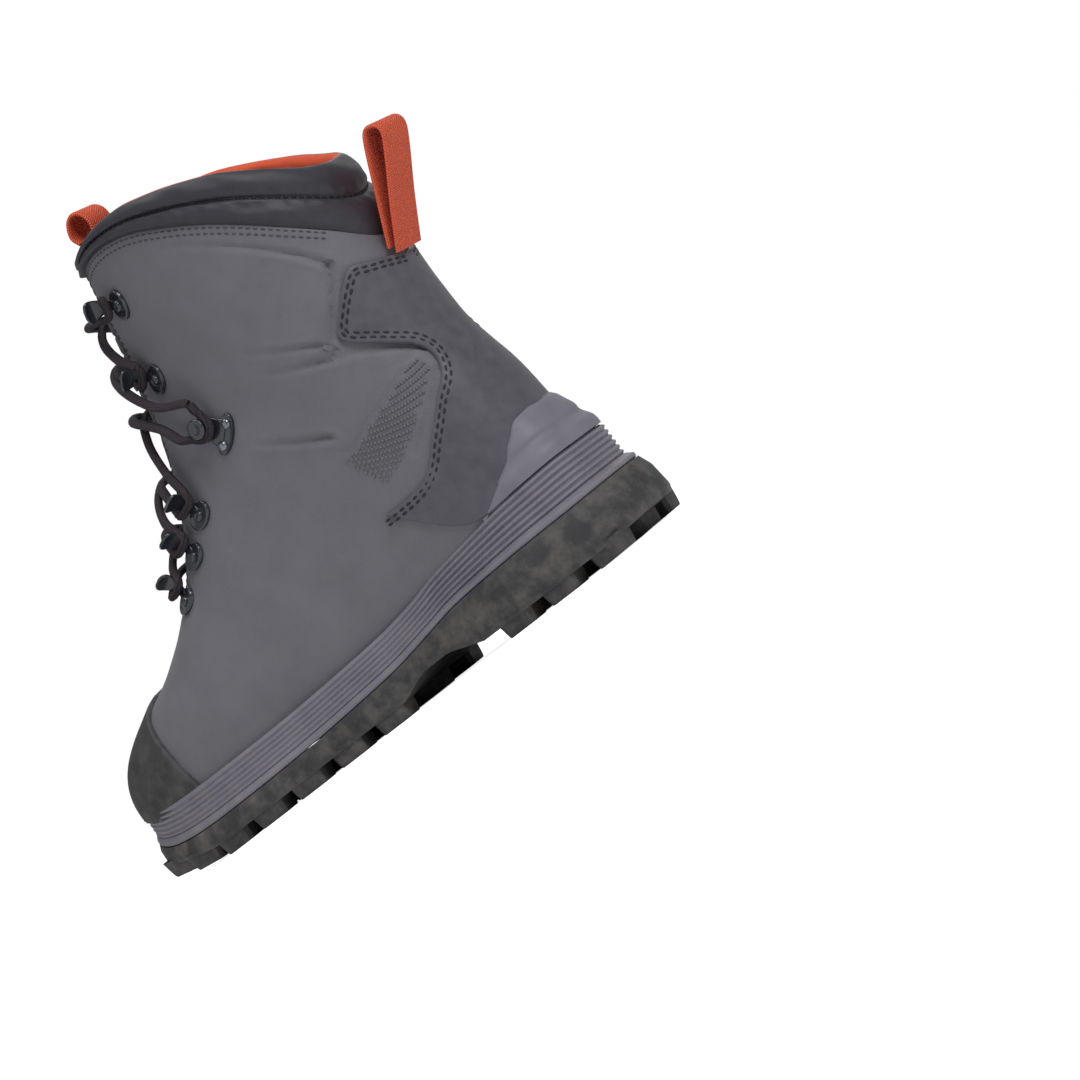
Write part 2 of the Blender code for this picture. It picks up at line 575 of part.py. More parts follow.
class Boot:
    """Builds the boot's pieces into one collection, with its cutters in another."""

    def __init__(self):
        self.parts = bpy.data.collections.new("wading_boot")
        self.cutters = bpy.data.collections.new("cutters")
        for collection in (self.parts, self.cutters):
            bpy.context.scene.collection.children.link(collection)
        self.form = Form()
        self.border = HeightLine(BORDER)
        self.collar_tops = {1: HeightLine(COLLAR_TOP), -1: HeightLine(COLLAR_TOP_INNER)}
        self.bed = level("bed")
        self.rim = level("rim")
        self.parting = level("parting")
        self.tread = level("tread", smooth=False)
        self.ring = sole_ring()
        self.rubber = make_material("rubber_black", (0.030, 0.030, 0.032), 0.75)
        self.grey_rubber = make_material("rubber_grey", (0.185, 0.170, 0.205), 0.62)
        self.shaft = make_material("shaft_grey", (0.135, 0.130, 0.150), 0.72)
        self.charcoal = make_material("counter_charcoal", (0.075, 0.070, 0.085), 0.55)
        self.black = make_material("collar_black", (0.040, 0.038, 0.045), 0.60)
        self.weave = make_material("tongue_weave", (0.030, 0.028, 0.034), 0.80)
        self.orange = make_material("webbing_orange", (0.720, 0.150, 0.085), 0.75)
        self.hard = make_material("hardware_black", (0.018, 0.021, 0.030), 0.22)
        self.cord = make_material("lace_brown", (0.060, 0.048, 0.056), 0.70)
        self.board = make_material("insole_grey", (0.090, 0.088, 0.095), 0.80)

    def side_prism(self, name, line, clearance, upwards):
        """All that lies above or below a height curve, less a clearance."""
        x = np.linspace(length_at(BEHIND), length_at(AHEAD), 49)
        edge = [(a, line(a) + clearance) for a in x]
        far = height_at(ABOVE) if upwards else height_at(UNDER)
        outline = edge + [(x[-1], far), (x[0], far)]
        return as_cutter(prism(name, outline, BALL, self.cutters))

    def throat_cutter(self, name="throat_cut", clearance=0.0):
        """A ribbon along the front line that opens the throat, less a clearance."""
        sides = np.array([1.0])
        rows = np.linspace(0.0, 1.0, 30)
        line = np.array([self.form.at(row, sides)[0] for row in rows])
        normal = np.array([self.form.at(row, sides, 1.0)[0] for row in rows]) - line
        keep = line[:, 0] < length_at(100 * THROAT_TOE / LENGTH) + 0.5 * THROAT_HALF
        rings = []
        for point, lift in zip(line[keep], normal[keep]):
            lift = np.array([lift[0], 0.0, lift[2]]) / math.hypot(lift[0], lift[2])
            ahead = (length_at(100 * THROAT_TOE / LENGTH) + 0.5 * THROAT_HALF - point[0]) / THROAT_HALF
            half = THROAT_HALF * math.sqrt(max(THROAT_TOE_SHARE, min(1.0, ahead)))
            across = np.array([0.0, half - clearance, 0.0])
            high, low = point + THROAT_CUT_OUT * lift, point - THROAT_CUT_IN * lift
            rings.append(np.array([high + across, high - across, low - across, low + across]))
        return as_cutter(loft(name, rings, self.cutters))

    def build_upper(self):
        """The hollow upper: outer form less inner form, open at top, throat and underneath."""
        upper = form_solid(self.form, "upper", 0.0, self.parts)
        cut(upper, self.side_prism("below_bed", self.bed, GAP, upwards=False))
        cut(upper, self.side_prism("above_border", self.border, 0.0, upwards=True))
        cut(upper, self.throat_cutter())
        cut(upper, as_cutter(form_solid(self.form, "form_inside", -WALL, self.cutters)))
        dress(upper, self.shaft)

    def overlay(self, name, rise, outline, material, above=None):
        """A piece cut between two larger forms by a side-view outline."""
        piece = form_solid(self.form, name, GAP + rise, self.parts)
        cut(piece, self.gap_form)
        area = as_cutter(prism(name + "_area", outline, BALL, self.cutters))
        cut(piece, area, "INTERSECT")
        if above is not None:
            cut(piece, above)
        return dress(piece, material)

    def build_overlays(self):
        """Counter, heel cup and toe cap."""
        self.gap_form = as_cutter(form_solid(self.form, "form_gap", GAP, self.cutters))
        edge = [(length_at(p.along), height_at(p.up)) for p in COUNTER_EDGE]
        back = [(length_at(BEHIND), height_at(26.0)), (length_at(BEHIND), height_at(60.0))]
        cup_line = HeightLine(CUP_EDGE, smooth=False)
        self.over_cup = self.below_line("counter_foot", cup_line, GAP)
        self.overlay("counter", COUNTER_RISE, edge + back, self.charcoal, self.over_cup)

        rings = wall_rings(CUP_WALL, self.rim.raised(GAP), self.rim.raised(CUP_LIFT), self.ring)
        cup = loft("heel_cup", rings, self.parts, ladder=True)
        cut(cup, self.gap_form)
        places = [(length_at(p.along), height_at(p.up)) for p in CUP_EDGE]
        outline = [(length_at(BEHIND), 0.0), (length_at(BEHIND), height_at(CUP_EDGE[0].up))]
        outline += places + [(places[-1][0], 0.0)]
        cut(cup, as_cutter(prism("cup_area", outline, BALL, self.cutters)), "INTERSECT")
        dress(cup, self.grey_rubber)

        edge = [(length_at(p.along), height_at(p.up)) for p in TOE_EDGE]
        edge += [(length_at(AHEAD), height_at(12.0)), (length_at(AHEAD), height_at(40.0))]
        below = self.side_prism("below_rim", self.rim, RIM_CLEAR, upwards=False)
        self.overlay("toe_cap", TOE_CAP_RISE, edge, self.rubber, below)

    def below_line(self, name, line, clearance):
        """All that lies below a height curve of the heel."""
        x = [length_at(p.along) for p in CUP_EDGE]
        x = [length_at(BEHIND)] + x + [length_at(30.0)]
        outline = [(a, line(a) + clearance) for a in x] + [(x[-1], -0.01), (x[0], -0.01)]
        return as_cutter(prism(name, outline, BALL, self.cutters))

    def build_sole(self):
        """Midsole cup with its ribs, and the outsole with its lugs."""
        rings = wall_rings(ribbed(MIDSOLE_WALL), self.parting.raised(GAP / 2), self.rim, self.ring)
        midsole = loft("midsole", rings, self.parts, ladder=True)
        seat = form_solid(self.form, "form_seat", GAP, self.cutters)
        cut(seat, self.side_prism("below_seat", self.bed, 0.0, upwards=False))
        cut(midsole, as_cutter(seat))
        dress(midsole, self.grey_rubber)

        rings = wall_rings(OUTSOLE_WALL, self.tread.raised(LUG_DEPTH),
                           self.parting.raised(-GAP / 2), self.ring)
        outsole = loft("outsole", rings, self.parts, ladder=True)
        cut(outsole, as_cutter(self.lugs()), "UNION")
        dress(outsole, self.rubber)

    def edge_at(self, x, outer):
        """The sole's edge across at a place along."""
        half = len(self.ring) // 2
        side = self.ring[:half + 1] if outer else np.roll(self.ring, -half, axis=0)[:half + 1]
        order = np.argsort(side[:, 0])
        return np.interp(x, side[order, 0], side[order, 1])

    def lugs(self):
        """All lugs as one mesh of tapered blocks, a row for each place along."""
        verts, faces = [], []
        for row in LUG_ROWS:
            middle = length_at(row.along)
            outer, inner = self.edge_at(middle, True), self.edge_at(middle, False)
            inset = LUG_INSET + LUG_WIDTH / 2
            places = np.linspace(inner + inset, outer - inset, row.count)
            for k, across in enumerate(places):
                skew = LUG_SKEW * LUG_LENGTH * (1 if k % 2 else -1)
                edge = k in (0, row.count - 1)
                wide = LUG_WIDTH * (1.0 if edge else LUG_INNER)
                base = len(verts)
                for share, root in ((1.0, True), (LUG_TAPER, False)):
                    for a, b in ((-1, -1), (1, -1), (1, 1), (-1, 1)):
                        x = middle + a * share * LUG_LENGTH / 2 + b * skew * (0 if edge else 1)
                        y = across + b * share * wide / 2
                        z = self.tread(x) + (LUG_DEPTH + LUG_ROOT if root else 0.0)
                        verts.append((x, y, z))
                faces.append((base, base + 1, base + 2, base + 3))
                faces.append((base + 7, base + 6, base + 5, base + 4))
                for a in range(4):
                    b = (a + 1) % 4
                    faces.append((base + a, base + 4 + a, base + 4 + b, base + b))
        return new_object("lugs", verts, faces, self.cutters)

    def build_insole(self):
        """The insole on the midsole's bed."""
        rings = []
        for lift in (GAP, GAP + INSOLE_THICK):
            rings.append(np.column_stack((self.ring, self.bed(self.ring[:, 0]) + lift)))
        insole = loft("insole", rings, self.parts, ladder=True)
        inside = form_solid(self.form, "form_insole", -WALL - INSOLE_EDGE, self.cutters)
        cut(insole, as_cutter(inside), "INTERSECT")
        dress(insole, self.board)

    def build_collar(self):
        """The padded collar: two rolls round the top, open at the front."""
        rings = []
        for side in np.linspace(-COLLAR_END, COLLAR_END, COLLAR_RINGS):
            low = self.form.row_where(side, self.border)
            high = self.form.row_where(side, self.collar_tops[1 if side > 0 else -1])
            fade = np.clip((abs(side) - PAD_FADE[0]) / (PAD_FADE[1] - PAD_FADE[0]), 0, 1)
            pad = COLLAR_PAD + (COLLAR_TIP - COLLAR_PAD) * fade
            shares = np.array([roll.share for roll in COLLAR_ROLLS])
            lifts = np.array([roll.lift * (COLLAR_PUFF if roll.lift > 0 else pad)
                              for roll in COLLAR_ROLLS])
            rings.append(self.form.at(low + (high - low) * shares, side, lifts))
        collar = loft("collar", rings, self.parts)
        cut(collar, self.side_prism("below_border", self.border, GAP, upwards=False))
        dress(collar, self.black, 60.0)

    def build_tongue(self):
        """The padded tongue under the throat, crowned where it shows."""
        across = np.linspace(-1, 1, 9)
        front = length_at(100 * THROAT_TOE / LENGTH) + TONGUE_HALF * 0.5
        rows = np.linspace(0, 1, 181)
        line = self.form.at(rows, 1.0)
        start = np.interp(-front, -line[:, 0], rows)
        rings = []
        for row in np.linspace(start, TONGUE_TOP, TONGUE_ROWS):
            half = self.half_girth(row)
            side = np.where(across < 0, -1.0, 1.0) * (1 - np.abs(across) * TONGUE_HALF / half)
            crown_half = (THROAT_HALF - TONGUE_CROWN_IN) / TONGUE_HALF
            crown = np.clip(1 - (across / crown_half) ** 2, 0, 1)
            share = (row - start) / (TONGUE_TOP - start)
            rise = np.clip((share - CROWN_FROM) / (CROWN_TO - CROWN_FROM), 0, 1)
            outer = crown * rise * (WALL + TONGUE_BULGE) - WALL
            inner = -WALL - TONGUE_THICK * (TONGUE_EDGE + (1 - TONGUE_EDGE) * (1 - across ** 2))
            rings.append(np.concatenate((self.form.at(row, side, outer),
                                         self.form.at(row, side, inner)[::-1])))
        tongue = loft("tongue", rings, self.parts)
        wall = form_solid(self.form, "wall_room", TONGUE_THICK, self.cutters)
        cut(wall, as_cutter(form_solid(self.form, "under_wall", -WALL - GAP, self.cutters)))
        cut(wall, self.throat_cutter("throat_room", GAP))
        cut(tongue, as_cutter(wall))
        dress(tongue, self.weave, 60.0)

    def half_girth(self, row):
        """Length of one section from the back line to the front line."""
        line = self.form.at(row, np.linspace(0, 1, 31))
        return np.linalg.norm(np.diff(line, axis=0), axis=1).sum()

    def web_loop(self, name, places, wide):
        """A webbing strip along a path in the side view."""
        path = np.array([(length_at(p.along), 0.0, height_at(p.up)) for p in places])
        path = catmull(path, np.linspace(0, len(path) - 1, 2 * len(path) - 1))
        return self.strip(name, path, np.tile((0.0, 1.0, 0.0), (len(path), 1)), wide, WEB_THICK,
                          self.parts)

    @staticmethod
    def strip(name, path, across, wide, thick, collection):
        """A flat strip along a path; across gives its width's direction at each point."""
        along = np.gradient(path, axis=0)
        along /= np.linalg.norm(along, axis=1)[:, None]
        face = np.cross(along, across)
        face /= np.linalg.norm(face, axis=1)[:, None]
        wide = np.broadcast_to(wide, len(path))[:, None] / 2
        rings = [np.array([p + w * a + thick / 2 * n, p - w * a + thick / 2 * n,
                           p - w * a - thick / 2 * n, p + w * a - thick / 2 * n])
                 for p, a, n, w in zip(path, across, face, wide)]
        return loft(name, rings, collection)

    def build_loops(self):
        """Webbing pull loops behind the collar and on the tongue's top."""
        dress(self.web_loop("pull_loop_back", BACK_LOOP, WEB_WIDE), self.orange)
        dress(self.web_loop("pull_loop_front", FRONT_LOOP, TAB_WIDE), self.orange)

    def seat(self, spot, sign):
        """Frame on the form at a spot: origin, forward, up and outward directions."""
        side = sign * spot.side
        origin = self.form.at(spot.row, side)
        out = self.form.at(spot.row, side, 1.0) - origin
        ahead = self.form.at(spot.row, side + sign * 0.02) - origin
        ahead -= out * ahead.dot(out)
        ahead /= np.linalg.norm(ahead)
        up = np.cross(out, ahead)
        up *= 1.0 if up[2] > 0 else -1.0
        return origin, ahead, up, out

    @staticmethod
    def local(frame, ahead, up, out):
        """World place of local distances from a seat."""
        return frame[0] + ahead * frame[1] + up * frame[2] + out * frame[3]

    def oval(self, name, frame, long, wide, base, thick, collection):
        """An oval plate on a seat, long along up."""
        turn = np.linspace(0, 2 * math.pi, PLATE_COUNT, endpoint=False)
        rings = [np.array([self.local(frame, wide / 2 * math.cos(a), long / 2 * math.sin(a), z)
                           for a in turn]) for z in (base - PLATE_ROOT, base + thick)]
        return loft(name, rings, collection)

    def hook(self, name, spot, sign):
        """A lace hook: oval base and a strap that rises forward to its lip."""
        frame = self.seat(spot, sign)
        base = self.oval(name, frame, HOOK_LONG, HOOK_WIDE, PLATE_LIFT, PLATE_THICK, self.parts)
        path = np.array([self.local(frame, step.ahead * HOOK_REACH, 0.0,
                                    PLATE_LIFT + step.out * HOOK_REACH) for step in HOOK_STEPS])
        wide = np.array([step.wide for step in HOOK_STEPS]) * HOOK_STRAP
        across = np.tile(frame[2], (len(path), 1))
        strap = self.strip(name + "_strap", path, across, wide, PLATE_THICK, self.cutters)
        cut(base, as_cutter(strap), "UNION")
        cut(base, self.gap_form)
        dress(base, self.hard)

    def pulley(self, name, spot, sign):
        """A lace pulley: riveted plate, a flat arm and a short drum ahead of it."""
        frame = self.seat(spot, sign)
        plate = self.oval(name, frame, PULLEY_LONG, PULLEY_WIDE, PLATE_LIFT, PLATE_THICK, self.parts)
        path = np.array([self.local(frame, step.ahead * DRUM_AHEAD, 0.0,
                                    PLATE_LIFT + step.out * DRUM_AHEAD) for step in ARM_STEPS])
        wide = np.array([step.wide for step in ARM_STEPS]) * 2 * DRUM_RADIUS
        across = np.tile(frame[2], (len(path), 1))
        arm = self.strip(name + "_arm", path, across, wide, PLATE_THICK, self.cutters)
        cut(plate, as_cutter(arm), "UNION")
        turn = np.linspace(0, 2 * math.pi, DRUM_COUNT, endpoint=False)
        rings = [np.array([self.local(frame, DRUM_AHEAD + DRUM_RADIUS * math.cos(a),
                                      DRUM_RADIUS * math.sin(a), lift) for a in turn])
                 for lift in (DRUM_FOOT, DRUM_TOP)]
        drum = loft(name + "_drum", rings, self.cutters)
        cut(plate, as_cutter(drum), "UNION")
        cut(plate, self.gap_form)
        dress(plate, self.hard)

    def build_hardware(self):
        """Hooks, ankle pulleys and the lower keepers, on both sides."""
        for sign, side in ((1, "outer"), (-1, "inner")):
            for k, spot in enumerate(HOOKS, 1):
                self.hook(f"hook_{side}_{k}", spot, sign)
            self.pulley(f"ankle_pulley_{side}", PULLEY, sign)
            for k, spot in enumerate(KEEPERS, 1):
                self.hook(f"lace_keeper_{side}_{k}", spot, sign)

    def build_lace(self):
        """One crossing between each two levels of hardware, and a bar at the lowest."""
        spots = list(KEEPERS) + [PULLEY] + list(HOOKS)
        for k in range(len(spots) - 1):
            low, high = spots[k], spots[k + 1]
            first = self.lace_run(f"lace_cross_{k + 1}", low, high, 1, self.parts)
            second = self.lace_run(f"lace_cross_{k + 1}_other", low, high, -1, self.cutters)
            cut(first, as_cutter(second), "UNION")
            dress(first, self.cord)
        low = Spot(spots[0].row - 2 * LACE_STEP, spots[0].side)
        high = Spot(spots[0].row, spots[0].side)
        bar = self.lace_run("lace_bar", low, high, 1, self.parts, flat=True)
        dress(bar, self.cord)

    def lace_run(self, name, low, high, sign, collection, flat=False):
        """One lace from a low spot over the tongue to the high spot on the other side."""
        shares = np.linspace(0.0, 1.0, LACE_RINGS)
        path = []
        for share in shares:
            rise = LACE_STEP + (high.row - low.row - 2 * LACE_STEP) * share
            row = low.row + (0.0 if flat else rise)
            reach = (1 - low.side) + ((1 - high.side) - (1 - low.side)) * share
            across = sign * (1 - 2 * share)
            side = math.copysign(1 - abs(across) * (reach - LACE_CLEAR), across)
            lift = LACE_SIDE_LIFT + (LACE_CROWN - LACE_SIDE_LIFT) * (1 - across ** 2)
            path.append(self.form.at(row, side, lift))
        path = np.array(path)
        along = np.gradient(path, axis=0)
        along /= np.linalg.norm(along, axis=1)[:, None]
        rings = []
        turn = np.linspace(0, 2 * math.pi, LACE_COUNT, endpoint=False)
        for point, way in zip(path, along):
            out = np.cross(way, np.cross(LACE_FACING, way))
            out /= np.linalg.norm(out)
            other = np.cross(way, out)
            rings.append(np.array([point + LACE_RADIUS * (math.cos(a) * out + math.sin(a) * other)
                                   for a in turn]))
        return loft(name, rings, collection)


def build():
    """Clear the scene and build every piece."""
    for thing in list(bpy.data.objects):
        bpy.data.objects.remove(thing)
    boot = Boot()
    boot.build_upper()
    boot.build_overlays()
    boot.build_sole()
    boot.build_insole()
    boot.build_collar()
    boot.build_tongue()
    boot.build_loops()
    boot.build_hardware()
    boot.build_lace()


build()
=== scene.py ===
"""Dressed scene of the left wading boot, standing empty on its sole.

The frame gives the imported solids. Each class below holds the sizes of one sub-assembly, builds its
fine meshes from the same boot form and gives them their finishes. Metres, +Z up, +X to the toe,
+Y to the outer side of the foot, with the origin on the floor in the middle of the heel's flat.
"""
import logging
import math
from dataclasses import dataclass
from enum import Enum
from functools import cache
from typing import Callable, NamedTuple, Sequence

import bmesh
import bpy
import numpy as np
from mathutils import Matrix, Vector
from mathutils.bvhtree import BVHTree
from mathutils.geometry import delaunay_2d_cdt


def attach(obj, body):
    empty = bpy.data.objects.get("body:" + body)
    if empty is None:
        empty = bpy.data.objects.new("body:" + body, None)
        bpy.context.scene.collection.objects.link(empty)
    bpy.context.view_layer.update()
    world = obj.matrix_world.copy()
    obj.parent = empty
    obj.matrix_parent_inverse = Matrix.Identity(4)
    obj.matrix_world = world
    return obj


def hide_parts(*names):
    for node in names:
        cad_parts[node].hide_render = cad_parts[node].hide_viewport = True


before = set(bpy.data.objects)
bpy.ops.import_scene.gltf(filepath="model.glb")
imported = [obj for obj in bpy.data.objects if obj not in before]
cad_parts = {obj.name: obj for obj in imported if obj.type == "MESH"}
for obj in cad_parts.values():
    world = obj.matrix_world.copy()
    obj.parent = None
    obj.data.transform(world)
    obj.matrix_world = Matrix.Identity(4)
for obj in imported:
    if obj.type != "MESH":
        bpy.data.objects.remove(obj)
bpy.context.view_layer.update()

LOG = logging.getLogger("wading_boot")
Array = np.ndarray
Value = float | bpy.types.NodeSocket
MM = 0.001
BODY = "root"

# Driving dimensions, in metres
LENGTH = 0.318          # sole, heel to toe
HEEL_REACH = 0.046      # sole behind the origin
BALL = 0.118            # sole across the ball
HEIGHT = 0.252          # floor to the collar's front
GAP = 0.0003            # clearance between pieces
WELD = 1e-5             # points this close are one
WALL = 0.0024           # upper's wall
THROAT_TOE = 0.232      # front end of the throat, from the sole's back
THROAT_HALF = 0.0165    # half the throat's width
TONGUE_TOP = 0.950      # tongue's top, row share
ROW_MM = 430.0          # length of the form along its rows
SIDE_MM = 190.0         # half of the shaft's girth


class Station(NamedTuple):
    """One section: ends as shares of LENGTH and HEIGHT, widths as shares of BALL, in percent."""
    low_x: float
    low_z: float
    high_x: float
    high_z: float
    outer: float
    inner: float
    middle: float
    widest: float
    low_power: float
    high_power: float


# Toe tip first, then back along the instep, round the ankle bend and up the shaft
STATIONS = (
    Station(97.3, 14.3, 97.3, 17.5, 6.8, 6.8, -7.6, 0.50, 2.00, 2.00),
    Station(96.2, 10.3, 96.0, 21.8, 18.5, 18.0, -7.6, 0.42, 2.60, 2.20),
    Station(93.8, 8.7, 93.2, 24.8, 27.8, 27.0, -6.8, 0.38, 3.20, 2.30),
    Station(89.8, 7.5, 89.0, 27.4, 35.2, 34.4, -5.7, 0.36, 3.60, 2.40),
    Station(84.0, 6.7, 82.8, 30.6, 41.2, 39.2, -4.0, 0.34, 4.00, 2.40),
    Station(76.7, 6.2, 75.2, 34.9, 44.9, 41.5, -2.1, 0.31, 4.00, 2.30),
    Station(68.6, 6.2, 68.2, 40.9, 44.9, 41.1, -0.4, 0.29, 4.00, 2.20),
    Station(60.1, 6.3, 62.8, 48.0, 41.9, 37.3, 0.4, 0.28, 4.00, 2.10),
    Station(51.3, 6.4, 59.0, 55.8, 38.6, 33.9, 0.8, 0.30, 3.80, 2.05),
    Station(42.1, 6.8, 56.6, 62.6, 36.4, 32.6, 0.8, 0.34, 3.50, 2.00),
    Station(32.4, 7.4, 55.0, 68.3, 35.2, 32.6, 0.4, 0.38, 3.20, 2.00),
    Station(22.6, 7.9, 54.1, 73.1, 34.7, 33.1, 0.3, 0.42, 3.00, 2.00),
    Station(13.8, 8.3, 53.4, 76.8, 34.7, 33.9, 0.0, 0.45, 2.90, 2.00),
    Station(7.8, 9.7, 52.8, 79.6, 34.7, 34.3, 0.0, 0.47, 2.50, 2.00),
    Station(5.7, 14.3, 52.2, 82.1, 34.7, 34.3, 0.0, 0.48, 2.20, 2.00),
    Station(5.4, 21.0, 51.8, 83.9, 34.7, 34.3, 0.0, 0.49, 2.10, 2.00),
    Station(5.7, 28.6, 51.4, 85.7, 35.0, 34.7, 0.0, 0.49, 2.05, 2.00),
    Station(6.3, 35.7, 51.0, 87.5, 35.4, 35.2, 0.0, 0.49, 2.00, 2.00),
    Station(7.5, 42.1, 50.6, 89.1, 35.8, 35.6, 0.0, 0.49, 2.00, 2.00),
    Station(8.5, 48.4, 50.2, 90.8, 36.4, 36.3, 0.0, 0.49, 2.00, 2.00),
    Station(8.6, 55.6, 49.7, 92.8, 37.3, 37.3, 0.0, 0.49, 2.00, 2.00),
    Station(8.4, 62.7, 49.2, 94.9, 38.0, 38.0, 0.0, 0.49, 2.00, 2.00),
    Station(8.0, 69.8, 48.6, 97.2, 38.6, 38.6, 0.0, 0.49, 2.05, 2.00),
    Station(7.9, 77.0, 48.1, 99.8, 39.0, 39.0, 0.0, 0.49, 2.10, 2.00),
    Station(8.0, 84.3, 47.6, 102.8, 39.2, 39.2, 0.0, 0.49, 2.10, 2.00),
    Station(8.3, 92.0, 47.2, 106.0, 39.2, 39.2, 0.0, 0.49, 2.10, 2.00),
)


class Outline(NamedTuple):
    """Sole's edge: place as a share of LENGTH, outer and inner edge as shares of BALL."""
    along: float
    outer: float
    inner: float


SOLE_OUTLINE = (
    Outline(96.2, 19.5, -33.9),
    Outline(89.3, 36.4, -44.9),
    Outline(78.9, 48.3, -48.3),
    Outline(66.4, 51.7, -44.9),
    Outline(53.8, 47.5, -38.1),
    Outline(39.6, 40.7, -32.2),
    Outline(26.4, 37.7, -34.3),
    Outline(15.1, 37.3, -36.9),
    Outline(6.0, 31.4, -31.4),
    Outline(1.6, 19.5, -19.5),
)
SOLE_TOE_SIDE = -7.6    # toe tip's place across, as a share of BALL


class Level(NamedTuple):
    """Sole's heights along the foot, as shares of LENGTH and of HEIGHT."""
    along: float
    tread: float
    parting: float
    bed: float
    rim: float


LEVELS = (
    Level(0.0, 0.6, 11.5, 12.7, 19.8),
    Level(6.0, 0.0, 11.3, 12.7, 19.8),
    Level(17.6, 0.0, 11.1, 12.7, 19.0),
    Level(28.0, 0.0, 10.5, 12.3, 17.3),
    Level(33.3, 2.2, 9.5, 11.5, 15.7),
    Level(38.0, 2.2, 8.5, 10.7, 14.7),
    Level(43.0, 0.0, 7.7, 10.1, 14.1),
    Level(55.3, 0.0, 6.7, 9.1, 13.3),
    Level(66.4, 0.0, 6.3, 8.5, 13.1),
    Level(80.0, 0.0, 6.3, 8.5, 13.3),
    Level(89.0, 1.3, 7.1, 9.3, 14.3),
    Level(95.0, 2.7, 8.7, 10.7, 15.9),
    Level(100.0, 4.3, 10.7, 12.3, 17.5),
)


class Place(NamedTuple):
    """A place in the side view, as shares of LENGTH and HEIGHT in percent."""
    along: float
    up: float


# Top of the grey shaft, back to front
BORDER = (
    Place(6.5, 65.3), Place(8.3, 68.9), Place(10.9, 73.9), Place(14.8, 79.4), Place(19.3, 84.8),
    Place(24.0, 89.3), Place(29.7, 93.5), Place(33.2, 95.4), Place(36.0, 96.4), Place(38.7, 97.0),
    Place(41.3, 97.2), Place(43.6, 97.0), Place(46.4, 96.2), Place(48.8, 95.0), Place(51.0, 93.6),
)
# Top of the collar's outer side, back to front
COLLAR_TOP = (
    Place(6.5, 82.7), Place(8.3, 84.2), Place(11.1, 87.5), Place(14.1, 90.7), Place(17.0, 93.2),
    Place(20.4, 95.2), Place(24.2, 97.1), Place(27.5, 98.4), Place(30.7, 99.5), Place(33.6, 100.0),
    Place(36.4, 100.2), Place(39.4, 100.1), Place(42.6, 99.7), Place(45.6, 99.0), Place(48.4, 98.0),
    Place(51.0, 96.9),
)
# Top of the collar's inner side, which is lower towards the back
COLLAR_TOP_INNER = (
    Place(6.5, 82.7), Place(8.3, 84.2), Place(10.0, 85.0), Place(11.7, 86.0), Place(13.7, 87.2),
    Place(15.9, 88.7), Place(18.3, 90.4), Place(20.8, 92.1), Place(23.4, 93.8), Place(26.0, 95.5),
    Place(28.6, 97.1), Place(31.2, 98.5), Place(33.8, 99.5), Place(36.4, 100.0), Place(39.4, 100.0),
    Place(42.6, 99.7), Place(45.6, 99.0), Place(48.4, 98.0), Place(51.0, 96.9),
)
# Heel cup's top edge, back to front
CUP_EDGE = (
    Place(-4.0, 30.0), Place(5.6, 28.8), Place(8.2, 26.4), Place(10.0, 24.2), Place(14.8, 21.0),
    Place(18.0, 18.0),
)
# Toe cap's back edge, from the top down
TOE_EDGE = (Place(83.0, 40.0), Place(82.2, 30.0), Place(79.5, 22.0), Place(77.5, 12.0))


class Side(NamedTuple):
    """One step of the midsole's wall: share of its height, inset at the heel, inset forward."""
    share: float
    heel: float
    fore: float


# Insets are shares of BALL in percent
MIDSOLE_WALL = (
    Side(0.00, 3.4, 1.6), Side(0.10, 3.5, 1.7), Side(0.20, 6.2, 2.6),
    Side(0.40, 6.2, 2.8), Side(0.60, 6.2, 3.0), Side(0.80, 6.1, 3.2), Side(1.00, 6.1, 3.4),
)
CUP_WALL = (Side(0.00, 6.1, 6.1), Side(0.20, 6.6, 6.6), Side(0.42, 9.3, 9.3), Side(0.55, 9.6, 9.6),
            Side(0.80, 11.8, 11.8), Side(1.00, 13.4, 13.4))
OUTSOLE_WALL = (Side(0.00, 1.0, 0.6), Side(0.15, 0.0, 0.0), Side(0.70, 0.9, 0.3), Side(1.00, 3.0, 1.4))
HEEL_FADE = (24.0, 38.0)    # where the heel's insets give way, shares of LENGTH


class Spot(NamedTuple):
    """Hardware on the form: row share, side share."""
    row: float
    side: float


class Roll(NamedTuple):
    """A point round the collar's section: share of its height, share of puff (+) or pad (-)."""
    share: float
    lift: float


COLLAR_ROLLS = (
    Roll(-0.08, 0.05), Roll(0.10, 0.75), Roll(0.26, 1.00), Roll(0.42, 0.65), Roll(0.49, 0.10),
    Roll(0.56, 0.65), Roll(0.73, 1.00), Roll(0.91, 0.45), Roll(1.00, -0.30), Roll(0.97, -0.70),
    Roll(0.82, -0.98), Roll(0.45, -1.00), Roll(0.10, -0.80), Roll(-0.08, -0.32),
)
COLLAR_END = 0.900      # collar's ends, side share
PAD_FADE = (0.70, 0.80)  # where the padding thins for the tongue, side shares

# Pull loops in the side view, shares of LENGTH and HEIGHT
BACK_LOOP = (
    Place(7.2, 63.9), Place(3.4, 71.0), Place(-0.4, 77.6), Place(-2.0, 80.9), Place(-1.7, 82.7),
    Place(-0.2, 83.1), Place(1.2, 81.0), Place(4.2, 74.0), Place(7.9, 65.3),
)
FRONT_LOOP = (
    Place(46.3, 101.6), Place(46.8, 103.5), Place(45.8, 105.8), Place(44.3, 106.4),
    Place(43.1, 105.1), Place(42.9, 103.0), Place(43.6, 101.5), Place(44.9, 101.2),
)
KEEPERS = (Spot(0.328, 0.785), Spot(0.398, 0.768), Spot(0.466, 0.752))
PULLEY = Spot(0.625, 0.702)
HOOKS = (Spot(0.672, 0.842), Spot(0.852, 0.772))


